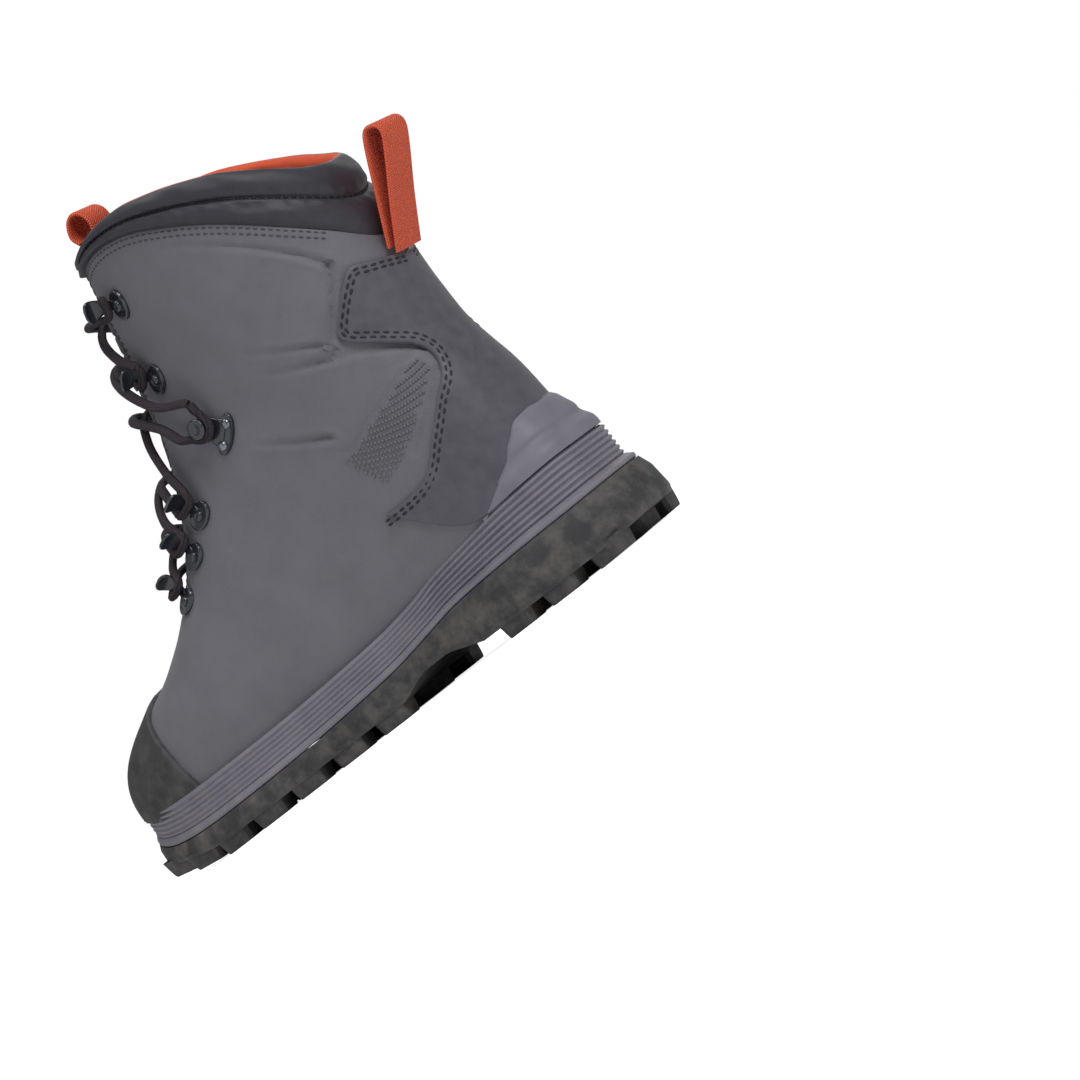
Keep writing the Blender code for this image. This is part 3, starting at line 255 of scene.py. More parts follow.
class Lug(NamedTuple):
    """One row of lugs across the tread: place along, how many across."""
    along: float
    count: int


LUG_ROWS = (Lug(6.4, 3), Lug(14.5, 3), Lug(22.6, 3), Lug(46.4, 3), Lug(54.2, 4), Lug(62.0, 4),
            Lug(69.8, 4), Lug(77.6, 4), Lug(85.2, 3), Lug(91.9, 2))


def length_at(share: float) -> float:
    """World X of a share of LENGTH, in percent from the sole's back."""
    return LENGTH * share / 100.0 - HEEL_REACH


def height_at(share: float) -> float:
    """World Z of a share of HEIGHT, in percent."""
    return HEIGHT * share / 100.0


def smooth_share(value: Array) -> Array:
    """Ease a share from 0 to 1 with flat ends."""
    value = np.clip(value, 0.0, 1.0)
    return value * value * (3.0 - 2.0 * value)


def unit(rows: Array) -> Array:
    """Vectors in rows, each made one long."""
    return rows / np.linalg.norm(rows, axis=-1)[..., None]


def heading(line: Array) -> Array:
    """Direction of a line at each of its points."""
    return unit(np.gradient(line, axis=0))


def run_along(line: Array) -> Array:
    """Length of a line from its start to each of its points."""
    return np.concatenate(([0.0], np.cumsum(np.linalg.norm(np.diff(line, axis=0), axis=1))))


def catmull(values: Sequence, places: Array, closed: bool = False) -> Array:
    """Read a smooth curve through rows of values.

    Args:
        values: rows of numbers, one for each control place.
        places: fractional row numbers to read.
        closed: whether the last row runs on into the first.

    Returns:
        One row of numbers for each place.
    """
    values = np.asarray(values, float)
    places = np.asarray(places, float)
    count = len(values)
    base = np.floor(places).astype(int)
    if not closed:
        base = np.clip(base, 0, count - 2)
    part = (places - base)[:, None]
    picks = [base + step for step in (-1, 0, 1, 2)]
    if closed:
        picks = [pick % count for pick in picks]
    else:
        picks = [np.clip(pick, 0, count - 1) for pick in picks]
    a, b, c, d = (values[pick] for pick in picks)
    return 0.5 * (2 * b + (c - a) * part + (2 * a - 5 * b + 4 * c - d) * part ** 2
                  + (3 * b - a - 3 * c + d) * part ** 3)


def resample(line: Array, step: float, scale: Array | None = None, closed: bool = False) -> Array:
    """Space a polyline's points evenly.

    Args:
        line: points in rows.
        step: wanted spacing, in the units that the scale gives.
        scale: length of one unit of each column, or None for plain lengths.
        closed: whether the line runs on into its start; the end point is then left off.

    Returns:
        The evenly spaced points.
    """
    line = np.asarray(line, float)
    if closed:
        line = np.vstack((line, line[:1]))
    ruler = line if scale is None else line * scale
    run = run_along(ruler)
    count = max(int(round(run[-1] / step)), 3)
    want = np.linspace(0.0, run[-1], count + 1)
    even = np.column_stack([np.interp(want, run, line[:, k]) for k in range(line.shape[1])])
    return even[:-1] if closed else even


class Form:
    """The boot's outer form as a dense grid of points and normals.

    Rows run from the toe (0) to the top (1). Sides run from the front line over the inner side
    (-1) to the back and bottom line (0), and over the outer side to the front line (1).
    """

    def __init__(self, rows: int = 360, half: int = 140, fine: int = 400) -> None:
        """Build the grid.

        Args:
            rows: sections along the form.
            half: steps round one side of a section.
            fine: points that one side of a section is measured with.
        """
        table = np.array(STATIONS, float)
        dense = catmull(table, np.linspace(0, len(table) - 1, rows))
        grid = np.array([self.section(Station(*row), half, fine) for row in dense])
        steps = np.linalg.norm(np.diff(grid, axis=0), axis=2).mean(axis=1)
        run = np.concatenate(([0.0], np.cumsum(steps)))
        run /= run[-1]
        even = np.interp(np.linspace(0, 1, rows), run, np.arange(len(run)))
        low = np.clip(even.astype(int), 0, len(run) - 2)
        part = (even - low)[:, None, None]
        self.points = grid[low] * (1 - part) + grid[low + 1] * part
        along = np.gradient(self.points, axis=0)
        across = np.gradient(self.points, axis=1)
        normals = np.cross(along, across)
        front = normals[:, 0] + normals[:, -1]
        normals[:, 0] = normals[:, -1] = front
        self.normals = unit(normals)
        self.rows, self.columns = self.points.shape[:2]

    @staticmethod
    def section(row: "Station", half: int, fine: int) -> Array:
        """Lay out one section.

        Args:
            row: the section's numbers.
            half: steps round one side.
            fine: points to measure one side with.

        Returns:
            Evenly spaced points, from the front over the inner side and back.
        """
        turn = np.linspace(0, math.pi, fine)
        low = turn < math.pi / 2
        power = np.where(low, row.low_power, row.high_power)
        lean = np.abs(np.cos(turn)) ** (2 / power)
        share = np.where(low, row.widest * (1 - lean), row.widest + (1 - row.widest) * lean)
        reach = np.sin(turn) ** (2 / power)
        reach[0] = reach[-1] = 0.0
        sides = []
        for sign, width in ((-1, row.inner), (1, row.outer)):
            x = length_at(row.low_x) + (length_at(row.high_x) - length_at(row.low_x)) * share
            z = height_at(row.low_z) + (height_at(row.high_z) - height_at(row.low_z)) * share
            y = BALL / 100 * (row.middle + sign * width * reach)
            line = np.column_stack((x, y, z))
            run = run_along(line)
            want = np.linspace(0, run[-1], half + 1)
            sides.append(np.column_stack([np.interp(want, run, line[:, k]) for k in range(3)]))
        return np.concatenate((sides[0][::-1], sides[1][1:]))

    def read(self, row: Array, side: Array) -> tuple[Array, Array]:
        """Read points and normals.

        Args:
            row: row shares, or one.
            side: side shares, or one.

        Returns:
            The points and their unit normals.
        """
        row, side = np.broadcast_arrays(np.asarray(row, float), np.asarray(side, float))
        i = np.clip(row, 0, 1) * (self.rows - 1)
        j = (np.clip(side, -1, 1) + 1) / 2 * (self.columns - 1)
        i0 = np.clip(i.astype(int), 0, self.rows - 2)
        j0 = np.clip(j.astype(int), 0, self.columns - 2)
        a, b = (i - i0)[..., None], (j - j0)[..., None]
        points, normals = (table[i0, j0] * (1 - a) * (1 - b) + table[i0 + 1, j0] * a * (1 - b)
                           + table[i0, j0 + 1] * (1 - a) * b + table[i0 + 1, j0 + 1] * a * b
                           for table in (self.points, self.normals))
        return points, unit(normals)

    def at(self, row: Array, side: Array, lift: Array = 0.0) -> Array:
        """Read points lifted along their normals.

        Args:
            row: row shares, or one.
            side: side shares, or one.
            lift: distances outwards, in metres.

        Returns:
            The lifted points.
        """
        points, normals = self.read(row, side)
        lift = np.broadcast_to(np.asarray(lift, float), points.shape[:-1])
        return points + normals * lift[..., None]

    def row_where(self, side: float, heights: "HeightLine") -> float:
        """Find where one column meets a height curve of X.

        Args:
            side: the column's side share.
            heights: height over X.

        Returns:
            The highest such row share.
        """
        rows = np.linspace(0.3, 1.0, 400)
        line = self.at(rows, side)
        above = line[:, 2] - heights(line[:, 0])
        below = np.nonzero(above < 0)[0]
        k = min(below[-1], len(rows) - 2)
        share = above[k] / (above[k] - above[k + 1])
        return float(rows[k] + (rows[k + 1] - rows[k]) * share)

    def half_girth(self, row: float) -> float:
        """Length of one section from the back line to the front line."""
        line = self.at(row, np.linspace(0, 1, 31))
        return float(np.linalg.norm(np.diff(line, axis=0), axis=1).sum())

    def place_of(self, x: float, z: float) -> tuple[float, float]:
        """Find the outer side's place that shows at a side-view point.

        Args:
            x: world X.
            z: world Z.

        Returns:
            Row share and side share.
        """
        rows = np.linspace(0.0, 1.0, self.rows)
        sides = np.linspace(0.0, 1.0, self.columns // 2 + 1)
        grid = self.points[:, self.columns // 2:]
        gap = np.hypot(grid[:, :, 0] - x, grid[:, :, 2] - z)
        i, j = np.unravel_index(np.argmin(gap), gap.shape)
        return float(rows[i]), float(sides[j])


class HeightLine:
    """A height curve over X through places in the side view, smooth or in straight runs."""

    def __init__(self, places: Sequence["Place"], smooth: bool = True) -> None:
        """Keep the curve's points.

        Args:
            places: side-view places, back to front.
            smooth: whether a curve is led through them.
        """
        ends = np.array([(length_at(p.along), height_at(p.up)) for p in places])
        dense = np.linspace(0, len(ends) - 1, 8 * len(ends))
        self.line = catmull(ends, dense) if smooth else ends

    def __call__(self, x: Array) -> Array:
        """Height at X."""
        return np.interp(x, self.line[:, 0], self.line[:, 1])


def level(name: str) -> HeightLine:
    """Height curve of one column of the sole's levels."""
    return HeightLine([Place(row.along, getattr(row, name)) for row in LEVELS], name != "tread")


def wave(points: Array, size: float, seed: float) -> Array:
    """Soft, repeatable unevenness from a few crossed waves.

    Args:
        points: world points in rows.
        size: rough length of one wave, in metres.
        seed: shifts the pattern.

    Returns:
        A value between about -1 and 1 for each point.
    """
    total = np.zeros(len(points))
    for k, (ax, ay, az) in enumerate(((1.0, 0.4, 0.7), (-0.6, 1.0, 0.5), (0.3, -0.8, 1.0),
                                      (0.9, 0.7, -0.6), (-1.3, 0.5, 1.2))):
        phase = seed * (1.7 + k) + 0.9 * k
        reach = points[:, 0] * ax + points[:, 1] * ay + points[:, 2] * az
        bend = np.sin(points[:, (k + 1) % 3] * 2.1 / size + phase)
        total += np.sin(2 * math.pi * reach / size * (0.6 + 0.23 * k) + phase + 1.3 * bend)
    return total / 5.0


def make_mesh(name: str, verts: Array, faces: list, materials: Sequence[bpy.types.Material],
              picks: Sequence[int] | None = None, weld: float = 0.0,
              sharp: float = 40.0) -> bpy.types.Object:
    """Make an object from points and faces.

    Args:
        name: the object's name.
        verts: points in rows.
        faces: tuples of point numbers.
        materials: the materials it carries.
        picks: material number of each face, or None for the first.
        weld: distance that nearby points are merged within.
        sharp: angle in degrees beyond which an edge stays sharp.

    Returns:
        The new object, its faces turned outwards.
    """
    mesh = bpy.data.meshes.new(name)
    mesh.from_pydata([tuple(map(float, v)) for v in verts], [], faces)
    for material in materials:
        mesh.materials.append(material)
    if picks is not None:
        mesh.polygons.foreach_set("material_index", np.asarray(picks, np.int32))
    shape = bmesh.new()
    shape.from_mesh(mesh)
    if weld > 0.0:
        bmesh.ops.remove_doubles(shape, verts=shape.verts, dist=weld)
    bmesh.ops.delete(shape, geom=[v for v in shape.verts if not v.link_faces], context="VERTS")
    bmesh.ops.recalc_face_normals(shape, faces=shape.faces)
    shape.to_mesh(mesh)
    shape.free()
    mesh.shade_smooth()
    mesh.set_sharp_from_angle(angle=math.radians(sharp))
    thing = bpy.data.objects.new(name, mesh)
    bpy.context.scene.collection.objects.link(thing)
    return thing


def grid_faces(rows: int, columns: int, start: int = 0, closed: bool = False) -> list:
    """Quads of a grid of points.

    Args:
        rows: rows of points.
        columns: points in a row.
        start: number of the first point.
        closed: whether each row runs on into its start.

    Returns:
        Tuples of four point numbers.
    """
    faces = []
    last = columns if closed else columns - 1
    for i in range(rows - 1):
        low, high = start + i * columns, start + (i + 1) * columns
        for j in range(last):
            k = (j + 1) % columns
            faces.append((low + j, low + k, high + k, high + j))
    return faces


def capped_faces(rows: int, columns: int) -> list:
    """Faces of a tube of closed rings, with both ends shut."""
    last = (rows - 1) * columns
    return grid_faces(rows, columns, closed=True) + [tuple(range(columns)),
                                                     tuple(range(last, last + columns))]


def join(name: str, things: Sequence[bpy.types.Object]) -> bpy.types.Object:
    """Merge several mesh objects into one.

    Args:
        name: the joined object's name.
        things: the objects, which are used up.

    Returns:
        The one object that is left.
    """
    with bpy.context.temp_override(active_object=things[0], selected_objects=list(things),
                                   selected_editable_objects=list(things)):
        bpy.ops.object.join()
    things[0].name = name
    things[0].data.name = name
    return things[0]


def settle(thing: bpy.types.Object, nodes: Sequence[str] = ()) -> bpy.types.Object:
    """Tie a finished piece to the frame and report it.

    Args:
        thing: the piece.
        nodes: CAD nodes that it stands for.

    Returns:
        The same piece.
    """
    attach(thing, BODY)
    if nodes:
        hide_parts(*nodes)
    LOG.info("%s: %d faces", thing.name, len(thing.data.polygons))
    return thing


class Grain(Enum):
    """Kinds of fine surface."""
    LEATHER = "leather"
    NUBUCK = "nubuck"
    RUBBER = "rubber"
    WEAVE = "weave"
    METAL = "metal"


class Shading:
    """Small helper that adds and joins the nodes of one tree."""

    def __init__(self, tree: bpy.types.NodeTree) -> None:
        """Keep the tree."""
        self.tree = tree

    def add(self, kind: str, inputs: dict | None = None, **settings) -> bpy.types.Node:
        """Add one node.

        Args:
            kind: the node's type.
            inputs: values or output sockets, by input name or number.
            settings: the node's own properties.

        Returns:
            The new node.
        """
        node = self.tree.nodes.new(kind)
        for key, value in settings.items():
            setattr(node, key, value)
        return self.feed(node, inputs or {})

    def feed(self, node: bpy.types.Node, inputs: dict) -> bpy.types.Node:
        """Give a node its inputs.

        Args:
            node: the node.
            inputs: values or output sockets, by input name or number.

        Returns:
            The same node.
        """
        for key, value in inputs.items():
            if isinstance(value, bpy.types.NodeSocket):
                self.tree.links.new(value, node.inputs[key])
            else:
                node.inputs[key].default_value = value
        return node

    def blend(self, share: Value, first: Value | tuple, second: Value | tuple) -> bpy.types.NodeSocket:
        """Mix two colours by a share of the second."""
        mix = self.add("ShaderNodeMix", {0: share, 6: first, 7: second}, data_type="RGBA")
        return mix.outputs[2]

    def maths(self, operation: str, first: Value, second: Value = 0.0,
              clamp: bool = False) -> bpy.types.NodeSocket:
        """One step of arithmetic.

        Args:
            operation: the Math node's operation.
            first: a number or socket.
            second: a number or socket.
            clamp: whether the result is held between 0 and 1.

        Returns:
            The result's socket.
        """
        node = self.add("ShaderNodeMath", {0: first, 1: second}, operation=operation)
        node.use_clamp = clamp
        return node.outputs[0]

    def spread(self, value: Value, low: Value, high: Value, out_low: Value = 0.0,
               out_high: Value = 1.0) -> bpy.types.NodeSocket:
        """Map a value from one range to another, held at its ends."""
        node = self.add("ShaderNodeMapRange", {"Value": value, "From Min": low, "From Max": high,
                                               "To Min": out_low, "To Max": out_high})
        return node.outputs["Result"]


def noise(shade: Shading, place: bpy.types.NodeSocket, scale: Value, detail: float,
          **more: float) -> bpy.types.NodeSocket:
    """Add a noise and give its value.

    Args:
        shade: the tree's helper.
        place: where it is read.
        scale: a number or socket.
        detail: how many finer layers it has.
        more: its Roughness or Distortion.

    Returns:
        The value's socket.
    """
    return shade.add("ShaderNodeTexNoise", {"Vector": place, "Scale": scale, "Detail": detail,
                                            **more}).outputs[0]


def close_group(shade: Shading, out: bpy.types.Node, **values: bpy.types.NodeSocket) -> bpy.types.NodeTree:
    """Join a group's values to its outputs and give its tree."""
    shade.feed(out, values)
    return shade.tree


def new_group(name: str, inputs: dict, outputs: Sequence[str]) -> tuple[Shading, dict, bpy.types.Node]:
    """Start a shader node group.

    Args:
        name: the group's name.
        inputs: default number of each input, or None for a vector.
        outputs: names of its number outputs.

    Returns:
        The helper, its input sockets by name, and its output node.
    """
    tree = bpy.data.node_groups.new(name, "ShaderNodeTree")
    for key, value in inputs.items():
        kind = "NodeSocketVector" if value is None else "NodeSocketFloat"
        socket = tree.interface.new_socket(key, in_out="INPUT", socket_type=kind)
        if value is not None:
            socket.default_value = value
    for key in outputs:
        tree.interface.new_socket(key, in_out="OUTPUT", socket_type="NodeSocketFloat")
    shade = Shading(tree)
    entry = shade.add("NodeGroupInput")
    sockets = {socket.name: socket for socket in entry.outputs if socket.name}
    return shade, sockets, shade.add("NodeGroupOutput")


@cache
def leather_group() -> bpy.types.NodeTree:
    """Pebbled grain: rounded cells with fine creases between them."""
    shade, ins, out = new_group("pebbled_grain", {"Place": None, "Scale": 900.0}, ("Height", "Tone"))
    cells = shade.add("ShaderNodeTexVoronoi", {"Vector": ins["Place"], "Scale": ins["Scale"],
                                               "Randomness": 0.9}, feature="SMOOTH_F1")
    broad = noise(shade, ins["Place"], 160.0, 4.0)
    cracks = shade.spread(cells.outputs["Distance"], 0.15, 0.75, 1.0, 0.0)
    height = shade.add("ShaderNodeMath", {0: broad, 1: 0.8, 2: cracks}, operation="MULTIPLY_ADD")
    return close_group(shade, out, Height=height.outputs[0], Tone=shade.spread(broad, 0.3, 0.7))


@cache
def nubuck_group() -> bpy.types.NodeTree:
    """Matt coated fabric: fine speckle over soft, broad mottling."""
    shade, ins, out = new_group("matt_speckle", {"Place": None, "Scale": 1500.0}, ("Height", "Tone"))
    fine = noise(shade, ins["Place"], ins["Scale"], 5.0, Roughness=0.7)
    broad = noise(shade, ins["Place"], 55.0, 4.0, Roughness=0.6)
    tone = shade.maths("ADD", shade.spread(fine, 0.35, 0.65, 0.0, 0.45),
                       shade.spread(broad, 0.3, 0.7, 0.0, 0.55))
    return close_group(shade, out, Height=fine, Tone=tone)


@cache
def rubber_group() -> bpy.types.NodeTree:
    """Moulded rubber: sparse pits and faint flow marks."""
    shade, ins, out = new_group("moulded_rubber", {"Place": None, "Scale": 700.0}, ("Height", "Tone"))
    fine = noise(shade, ins["Place"], ins["Scale"], 3.0)
    broad = noise(shade, ins["Place"], 40.0, 3.0, Distortion=0.6)
    pits = shade.add("ShaderNodeTexVoronoi", {"Vector": ins["Place"], "Scale": 420.0})
    dent = shade.spread(pits.outputs["Distance"], 0.0, 0.16, -0.6, 0.0)
    return close_group(shade, out, Height=shade.maths("ADD", fine, dent),
                       Tone=shade.spread(broad, 0.3, 0.7))


@cache
def metal_group() -> bpy.types.NodeTree:
    """Coated metal, with the surface of moulded rubber."""
    return rubber_group()


@cache
def weave_group() -> bpy.types.NodeTree:
    """Plain weave in the piece's own layout: ribs across, threads along, with painted shade in the hollows
    between them.
    """
    shade, ins, out = new_group("plain_weave", {"Place": None, "Scale": 1.0}, ("Height", "Tone"))
    parts = shade.add("ShaderNodeSeparateXYZ", {0: ins["Place"]})
    along = shade.maths("MULTIPLY", parts.outputs[0], ins["Scale"])
    across = shade.maths("MULTIPLY", parts.outputs[1], ins["Scale"])
    row = shade.maths("FLOOR", across)
    shift = shade.maths("MULTIPLY", shade.maths("MODULO", row, 2.0), 0.5)
    rib = shade.maths("ABSOLUTE", shade.maths("SINE", shade.maths(
        "MULTIPLY", shade.maths("ADD", along, shift), math.pi)))
    thread = shade.maths("ABSOLUTE", shade.maths("SINE", shade.maths("MULTIPLY", across, math.pi)))
    height = shade.maths("MULTIPLY", shade.maths("POWER", rib, 0.6), shade.maths("POWER", thread, 0.5))
    broad = noise(shade, ins["Place"], 0.35, 3.0)
    # Painted shade: the tone follows the weave's height, so the hollows between ribs and threads are
    # coloured darker.
    tone = shade.maths("ADD", shade.maths("MULTIPLY", height, 0.65),
                       shade.maths("MULTIPLY", broad, 0.35))
    return close_group(shade, out, Height=height, Tone=tone)


@cache
def dust_group() -> bpy.types.NodeTree:
    """Dust that gathers low on the boot and in patches."""
    shade, ins, out = new_group("low_dust", {"Place": None, "Top": 0.09}, ("Mask",))
    parts = shade.add("ShaderNodeSeparateXYZ", {0: ins["Place"]})
    low = shade.spread(parts.outputs[2], 0.0, ins["Top"], 1.0, 0.0)
    patch = shade.spread(noise(shade, ins["Place"], 90.0, 6.0, Roughness=0.65), 0.42, 0.72)
    return close_group(shade, out, Mask=shade.maths("MULTIPLY", low, patch, clamp=True))


GRAIN_GROUPS = {Grain.LEATHER: leather_group, Grain.NUBUCK: nubuck_group,
                Grain.RUBBER: rubber_group, Grain.WEAVE: weave_group, Grain.METAL: metal_group}
DUST = (0.30, 0.27, 0.24, 1.0)


@dataclass(frozen=True)
class Finish:
    """One material: colours in linear light, fine surface and gloss."""
    name: str
    dark: tuple[float, float, float]
    light: tuple[float, float, float]
    rough: float
    grain: Grain
    scale: float
    bump: float
    depth: float = 0.0002
    rough_spread: float = 0.12
    metal: float = 0.0
    sheen: float = 0.0
    coat: float = 0.0
    specular: float = 0.5
    dust: float = 0.0
    wear: float = 0.0
    layout: bool = False

    @cache
    def make(self) -> bpy.types.Material:
        """Build the material, once.

        Returns:
            The material, made from its groups and one Principled shader.
        """
        material = bpy.data.materials.new(self.name)
        material.use_nodes = True
        shade = Shading(material.node_tree)
        shader = material.node_tree.nodes["Principled BSDF"]
        world = shade.add("ShaderNodeTexCoord").outputs["Object"]
        place = shade.add("ShaderNodeUVMap", uv_map="layout").outputs[0] if self.layout else world
        fine = shade.add("ShaderNodeGroup", {"Place": place, "Scale": self.scale},
                         node_tree=GRAIN_GROUPS[self.grain]())
        # For weave finishes the tone carries painted shade in the weave's hollows as well as random tone.
        colour = shade.blend(fine.outputs["Tone"], (*self.dark, 1.0), (*self.light, 1.0))
        if self.wear > 0.0:
            edge = shade.add("ShaderNodeNewGeometry").outputs["Pointiness"]
            mask = shade.maths("MULTIPLY", shade.spread(edge, 0.50, 0.58), self.wear)
            pale = tuple(min(1.0, 1.9 * c + 0.02) for c in self.light)
            colour = shade.blend(mask, colour, (*pale, 1.0))
        if self.dust > 0.0:
            dust = shade.add("ShaderNodeGroup", {"Place": world}, node_tree=dust_group())
            mask = shade.maths("MULTIPLY", dust.outputs["Mask"], self.dust)
            colour = shade.blend(mask, colour, DUST)
        rough = shade.spread(fine.outputs["Tone"], 0.0, 1.0, self.rough - self.rough_spread / 2,
                             self.rough + self.rough_spread / 2)
        bump = shade.add("ShaderNodeBump", {"Height": fine.outputs["Height"], "Strength": self.bump,
                                            "Distance": self.depth})
        shade.feed(shader, {"Base Color": colour, "Roughness": rough, "Normal": bump.outputs[0],
                            "Metallic": self.metal, "Sheen Weight": self.sheen,
                            "Sheen Roughness": 0.5, "Coat Weight": self.coat,
                            "Coat Roughness": 0.15, "Specular IOR Level": self.specular})
        return material


SHAFT = Finish("shaft_grey", (0.118, 0.118, 0.136), (0.158, 0.158, 0.180), 0.60, Grain.NUBUCK,
               1500.0, 0.35, 0.00012, sheen=0.05, dust=0.15)
PANEL = Finish("wing_grey", (0.112, 0.112, 0.128), (0.150, 0.149, 0.168), 0.52, Grain.NUBUCK,
               1200.0, 0.25, 0.00010, sheen=0.1)
COUNTER = Finish("counter_charcoal", (0.068, 0.067, 0.084), (0.090, 0.088, 0.108), 0.46,
                 Grain.LEATHER, 1300.0, 0.22, 0.00012, sheen=0.1, wear=0.2)
COLLAR = Finish("collar_black", (0.028, 0.027, 0.036), (0.036, 0.035, 0.046), 0.52, Grain.LEATHER,
                1500.0, 0.22, 0.00012, rough_spread=0.06, specular=0.45)
LINING = Finish("lining_orange", (0.52, 0.075, 0.035), (0.70, 0.110, 0.050), 0.85, Grain.NUBUCK,
                2200.0, 0.5, 0.0002, specular=0.2)
INSIDE = Finish("lining_grey", (0.020, 0.020, 0.024), (0.045, 0.044, 0.050), 0.85, Grain.NUBUCK,
                2400.0, 0.5, 0.0002, sheen=0.3)
TONGUE = Finish("tongue_weave", (0.016, 0.015, 0.018), (0.052, 0.048, 0.056), 0.78, Grain.WEAVE,
                0.8, 0.6, 0.0003, sheen=0.3, layout=True)
WEBBING = Finish("webbing_orange", (0.60, 0.080, 0.040), (0.92, 0.170, 0.088), 0.80, Grain.WEAVE,
                 0.9, 1.0, 0.0006, specular=0.2, layout=True)
HARDWARE = Finish("hardware_black", (0.012, 0.014, 0.020), (0.024, 0.027, 0.038), 0.26,
                  Grain.METAL, 900.0, 0.06, 0.0001, coat=0.5, specular=0.6)
RIVET = Finish("rivet_steel", (0.16, 0.17, 0.20), (0.30, 0.31, 0.35), 0.24, Grain.METAL, 900.0,
               0.05, 0.0001, metal=0.9)
LACE = Finish("lace_brown", (0.014, 0.010, 0.015), (0.072, 0.058, 0.070), 0.78, Grain.WEAVE, 0.9,
              0.9, 0.0005, specular=0.3, layout=True)
THREAD = Finish("thread_black", (0.006, 0.006, 0.008), (0.016, 0.016, 0.020), 0.60, Grain.RUBBER,
                2500.0, 0.3, 0.0001)
THREAD_GREY = Finish("thread_grey", (0.045, 0.045, 0.052), (0.070, 0.070, 0.080), 0.62, Grain.RUBBER,
                     2500.0, 0.3, 0.0001)
CUP_RUBBER = Finish("rubber_grey", (0.150, 0.144, 0.176), (0.196, 0.190, 0.226), 0.56,
                    Grain.RUBBER, 800.0, 0.25, 0.00015, dust=0.35, wear=0.25)
BLACK_RUBBER = Finish("rubber_black", (0.022, 0.022, 0.024), (0.042, 0.042, 0.046), 0.66,
                      Grain.RUBBER, 700.0, 0.35, 0.0002, dust=0.4, wear=0.25)
BOARD = Finish("insole_grey", (0.070, 0.068, 0.074), (0.115, 0.112, 0.120), 0.86, Grain.NUBUCK,
               1800.0, 0.5, 0.0002, sheen=0.2)


class Mark(Enum):
    """Kinds of mark on the form."""
    GROOVE = "groove"
    STEP = "step"


@dataclass(frozen=True)
class Crease:
    """A mark along given places, as row and side shares; sizes in metres."""
    places: tuple[tuple[float, float], ...]
    depth: float
    width: float
    kind: Mark = Mark.GROOVE
    start: float = 1.0
    end: float = 1.0
    fade: float = 0.02


class Relief:
    """Height of the pressed marks at any place of the form, the same on both sides."""

    def __init__(self, form: Form, creases: Sequence[Crease], uneven: float = 0.0) -> None:
        """Lay out the lines.

        Args:
            form: the boot's form.
            creases: the marks.
            uneven: height of the cloth's soft unevenness, in metres.
        """
        self.uneven = uneven
        self.lines = []
        for crease in creases:
            places = resample(np.array(crease.places), 0.8, np.array([ROW_MM, SIDE_MM]))
            for sign in (1.0, -1.0):
                points, normals = form.read(places[:, 0], sign * places[:, 1])
                along = heading(points)
                left = np.cross(normals, along) * sign
                self.lines.append((crease, points, along, left))

    def __call__(self, points: Array) -> Array:
        """Height at points in rows.

        Args:
            points: world points on the form.

        Returns:
            A height for each, in metres.
        """
        total = self.uneven * wave(points, 0.07, 2.0) if self.uneven else np.zeros(len(points))
        for crease, line, along, left in self.lines:
            reach = 4 * crease.width + (crease.fade * 3 if crease.kind is Mark.STEP else 0.0)
            low, high = line.min(axis=0) - reach, line.max(axis=0) + reach
            near = np.nonzero(np.all((points > low) & (points < high), axis=1))[0]
            if len(near) == 0:
                continue
            spot = points[near]
            gap = np.linalg.norm(spot[:, None] - line[None], axis=2)
            k = gap.argmin(axis=1)
            off = spot - line[k]
            dist = gap[np.arange(len(near)), k]
            share = k / (len(line) - 1)
            depth = crease.depth * (crease.start + (crease.end - crease.start) * share)
            if crease.kind is Mark.GROOVE:
                lip = np.exp(-((dist - 1.7 * crease.width) / crease.width) ** 2)
                total[near] += depth * (0.35 * lip - np.exp(-(dist / crease.width) ** 2))
            else:
                signed = dist * np.sign((off * left[k]).sum(axis=1))
                past = np.where((k == 0) | (k == len(line) - 1), np.abs((off * along[k]).sum(axis=1)), 0)
                rise = smooth_share(0.5 + signed / (2 * crease.width))
                ground = np.exp(-(np.maximum(signed, 0) / crease.fade) ** 2)
                total[near] += depth * rise * ground * np.exp(-(past / (0.4 * crease.fade)) ** 2)
        return total


# Pressed marks of the shaft: the ankle panel's frame, its wedges and the wing's upper edge
SHAFT_MARKS = (
    Crease(((0.930, 0.540), (0.930, 0.490), (0.924, 0.440), (0.916, 0.377), (0.907, 0.318),
            (0.897, 0.262), (0.887, 0.219), (0.881, 0.197)), 0.0016, 0.0016, start=0.2),
    Crease(((0.881, 0.197), (0.859, 0.224), (0.835, 0.259), (0.809, 0.303)), 0.0016, 0.0018),
    Crease(((0.874, 0.178), (0.852, 0.205), (0.828, 0.240), (0.806, 0.280)), 0.0007, 0.0014),
    Crease(((0.778, 0.541), (0.788, 0.460), (0.797, 0.381), (0.803, 0.319)), 0.0018, 0.0015,
           start=0.0),
    Crease(((0.741, 0.566), (0.753, 0.499), (0.768, 0.426), (0.781, 0.354), (0.798, 0.312)),
           0.0018, 0.0015, start=0.0),
    Crease(((0.627, 0.636), (0.640, 0.593), (0.650, 0.552), (0.668, 0.485)), 0.0020, 0.0016,
           start=0.2),
    Crease(((0.758, 0.440), (0.777, 0.350), (0.792, 0.266), (0.798, 0.184), (0.796, 0.150)),
           -0.0022, 0.0013, Mark.STEP, start=0.3, fade=0.020),
    Crease(((0.654, 0.467), (0.705, 0.382), (0.747, 0.289), (0.778, 0.210), (0.793, 0.160)),
           0.0010, 0.0015),
    Crease(((0.675, 0.329), (0.715, 0.265), (0.755, 0.188), (0.774, 0.145)), 0.0010, 0.0015),
)


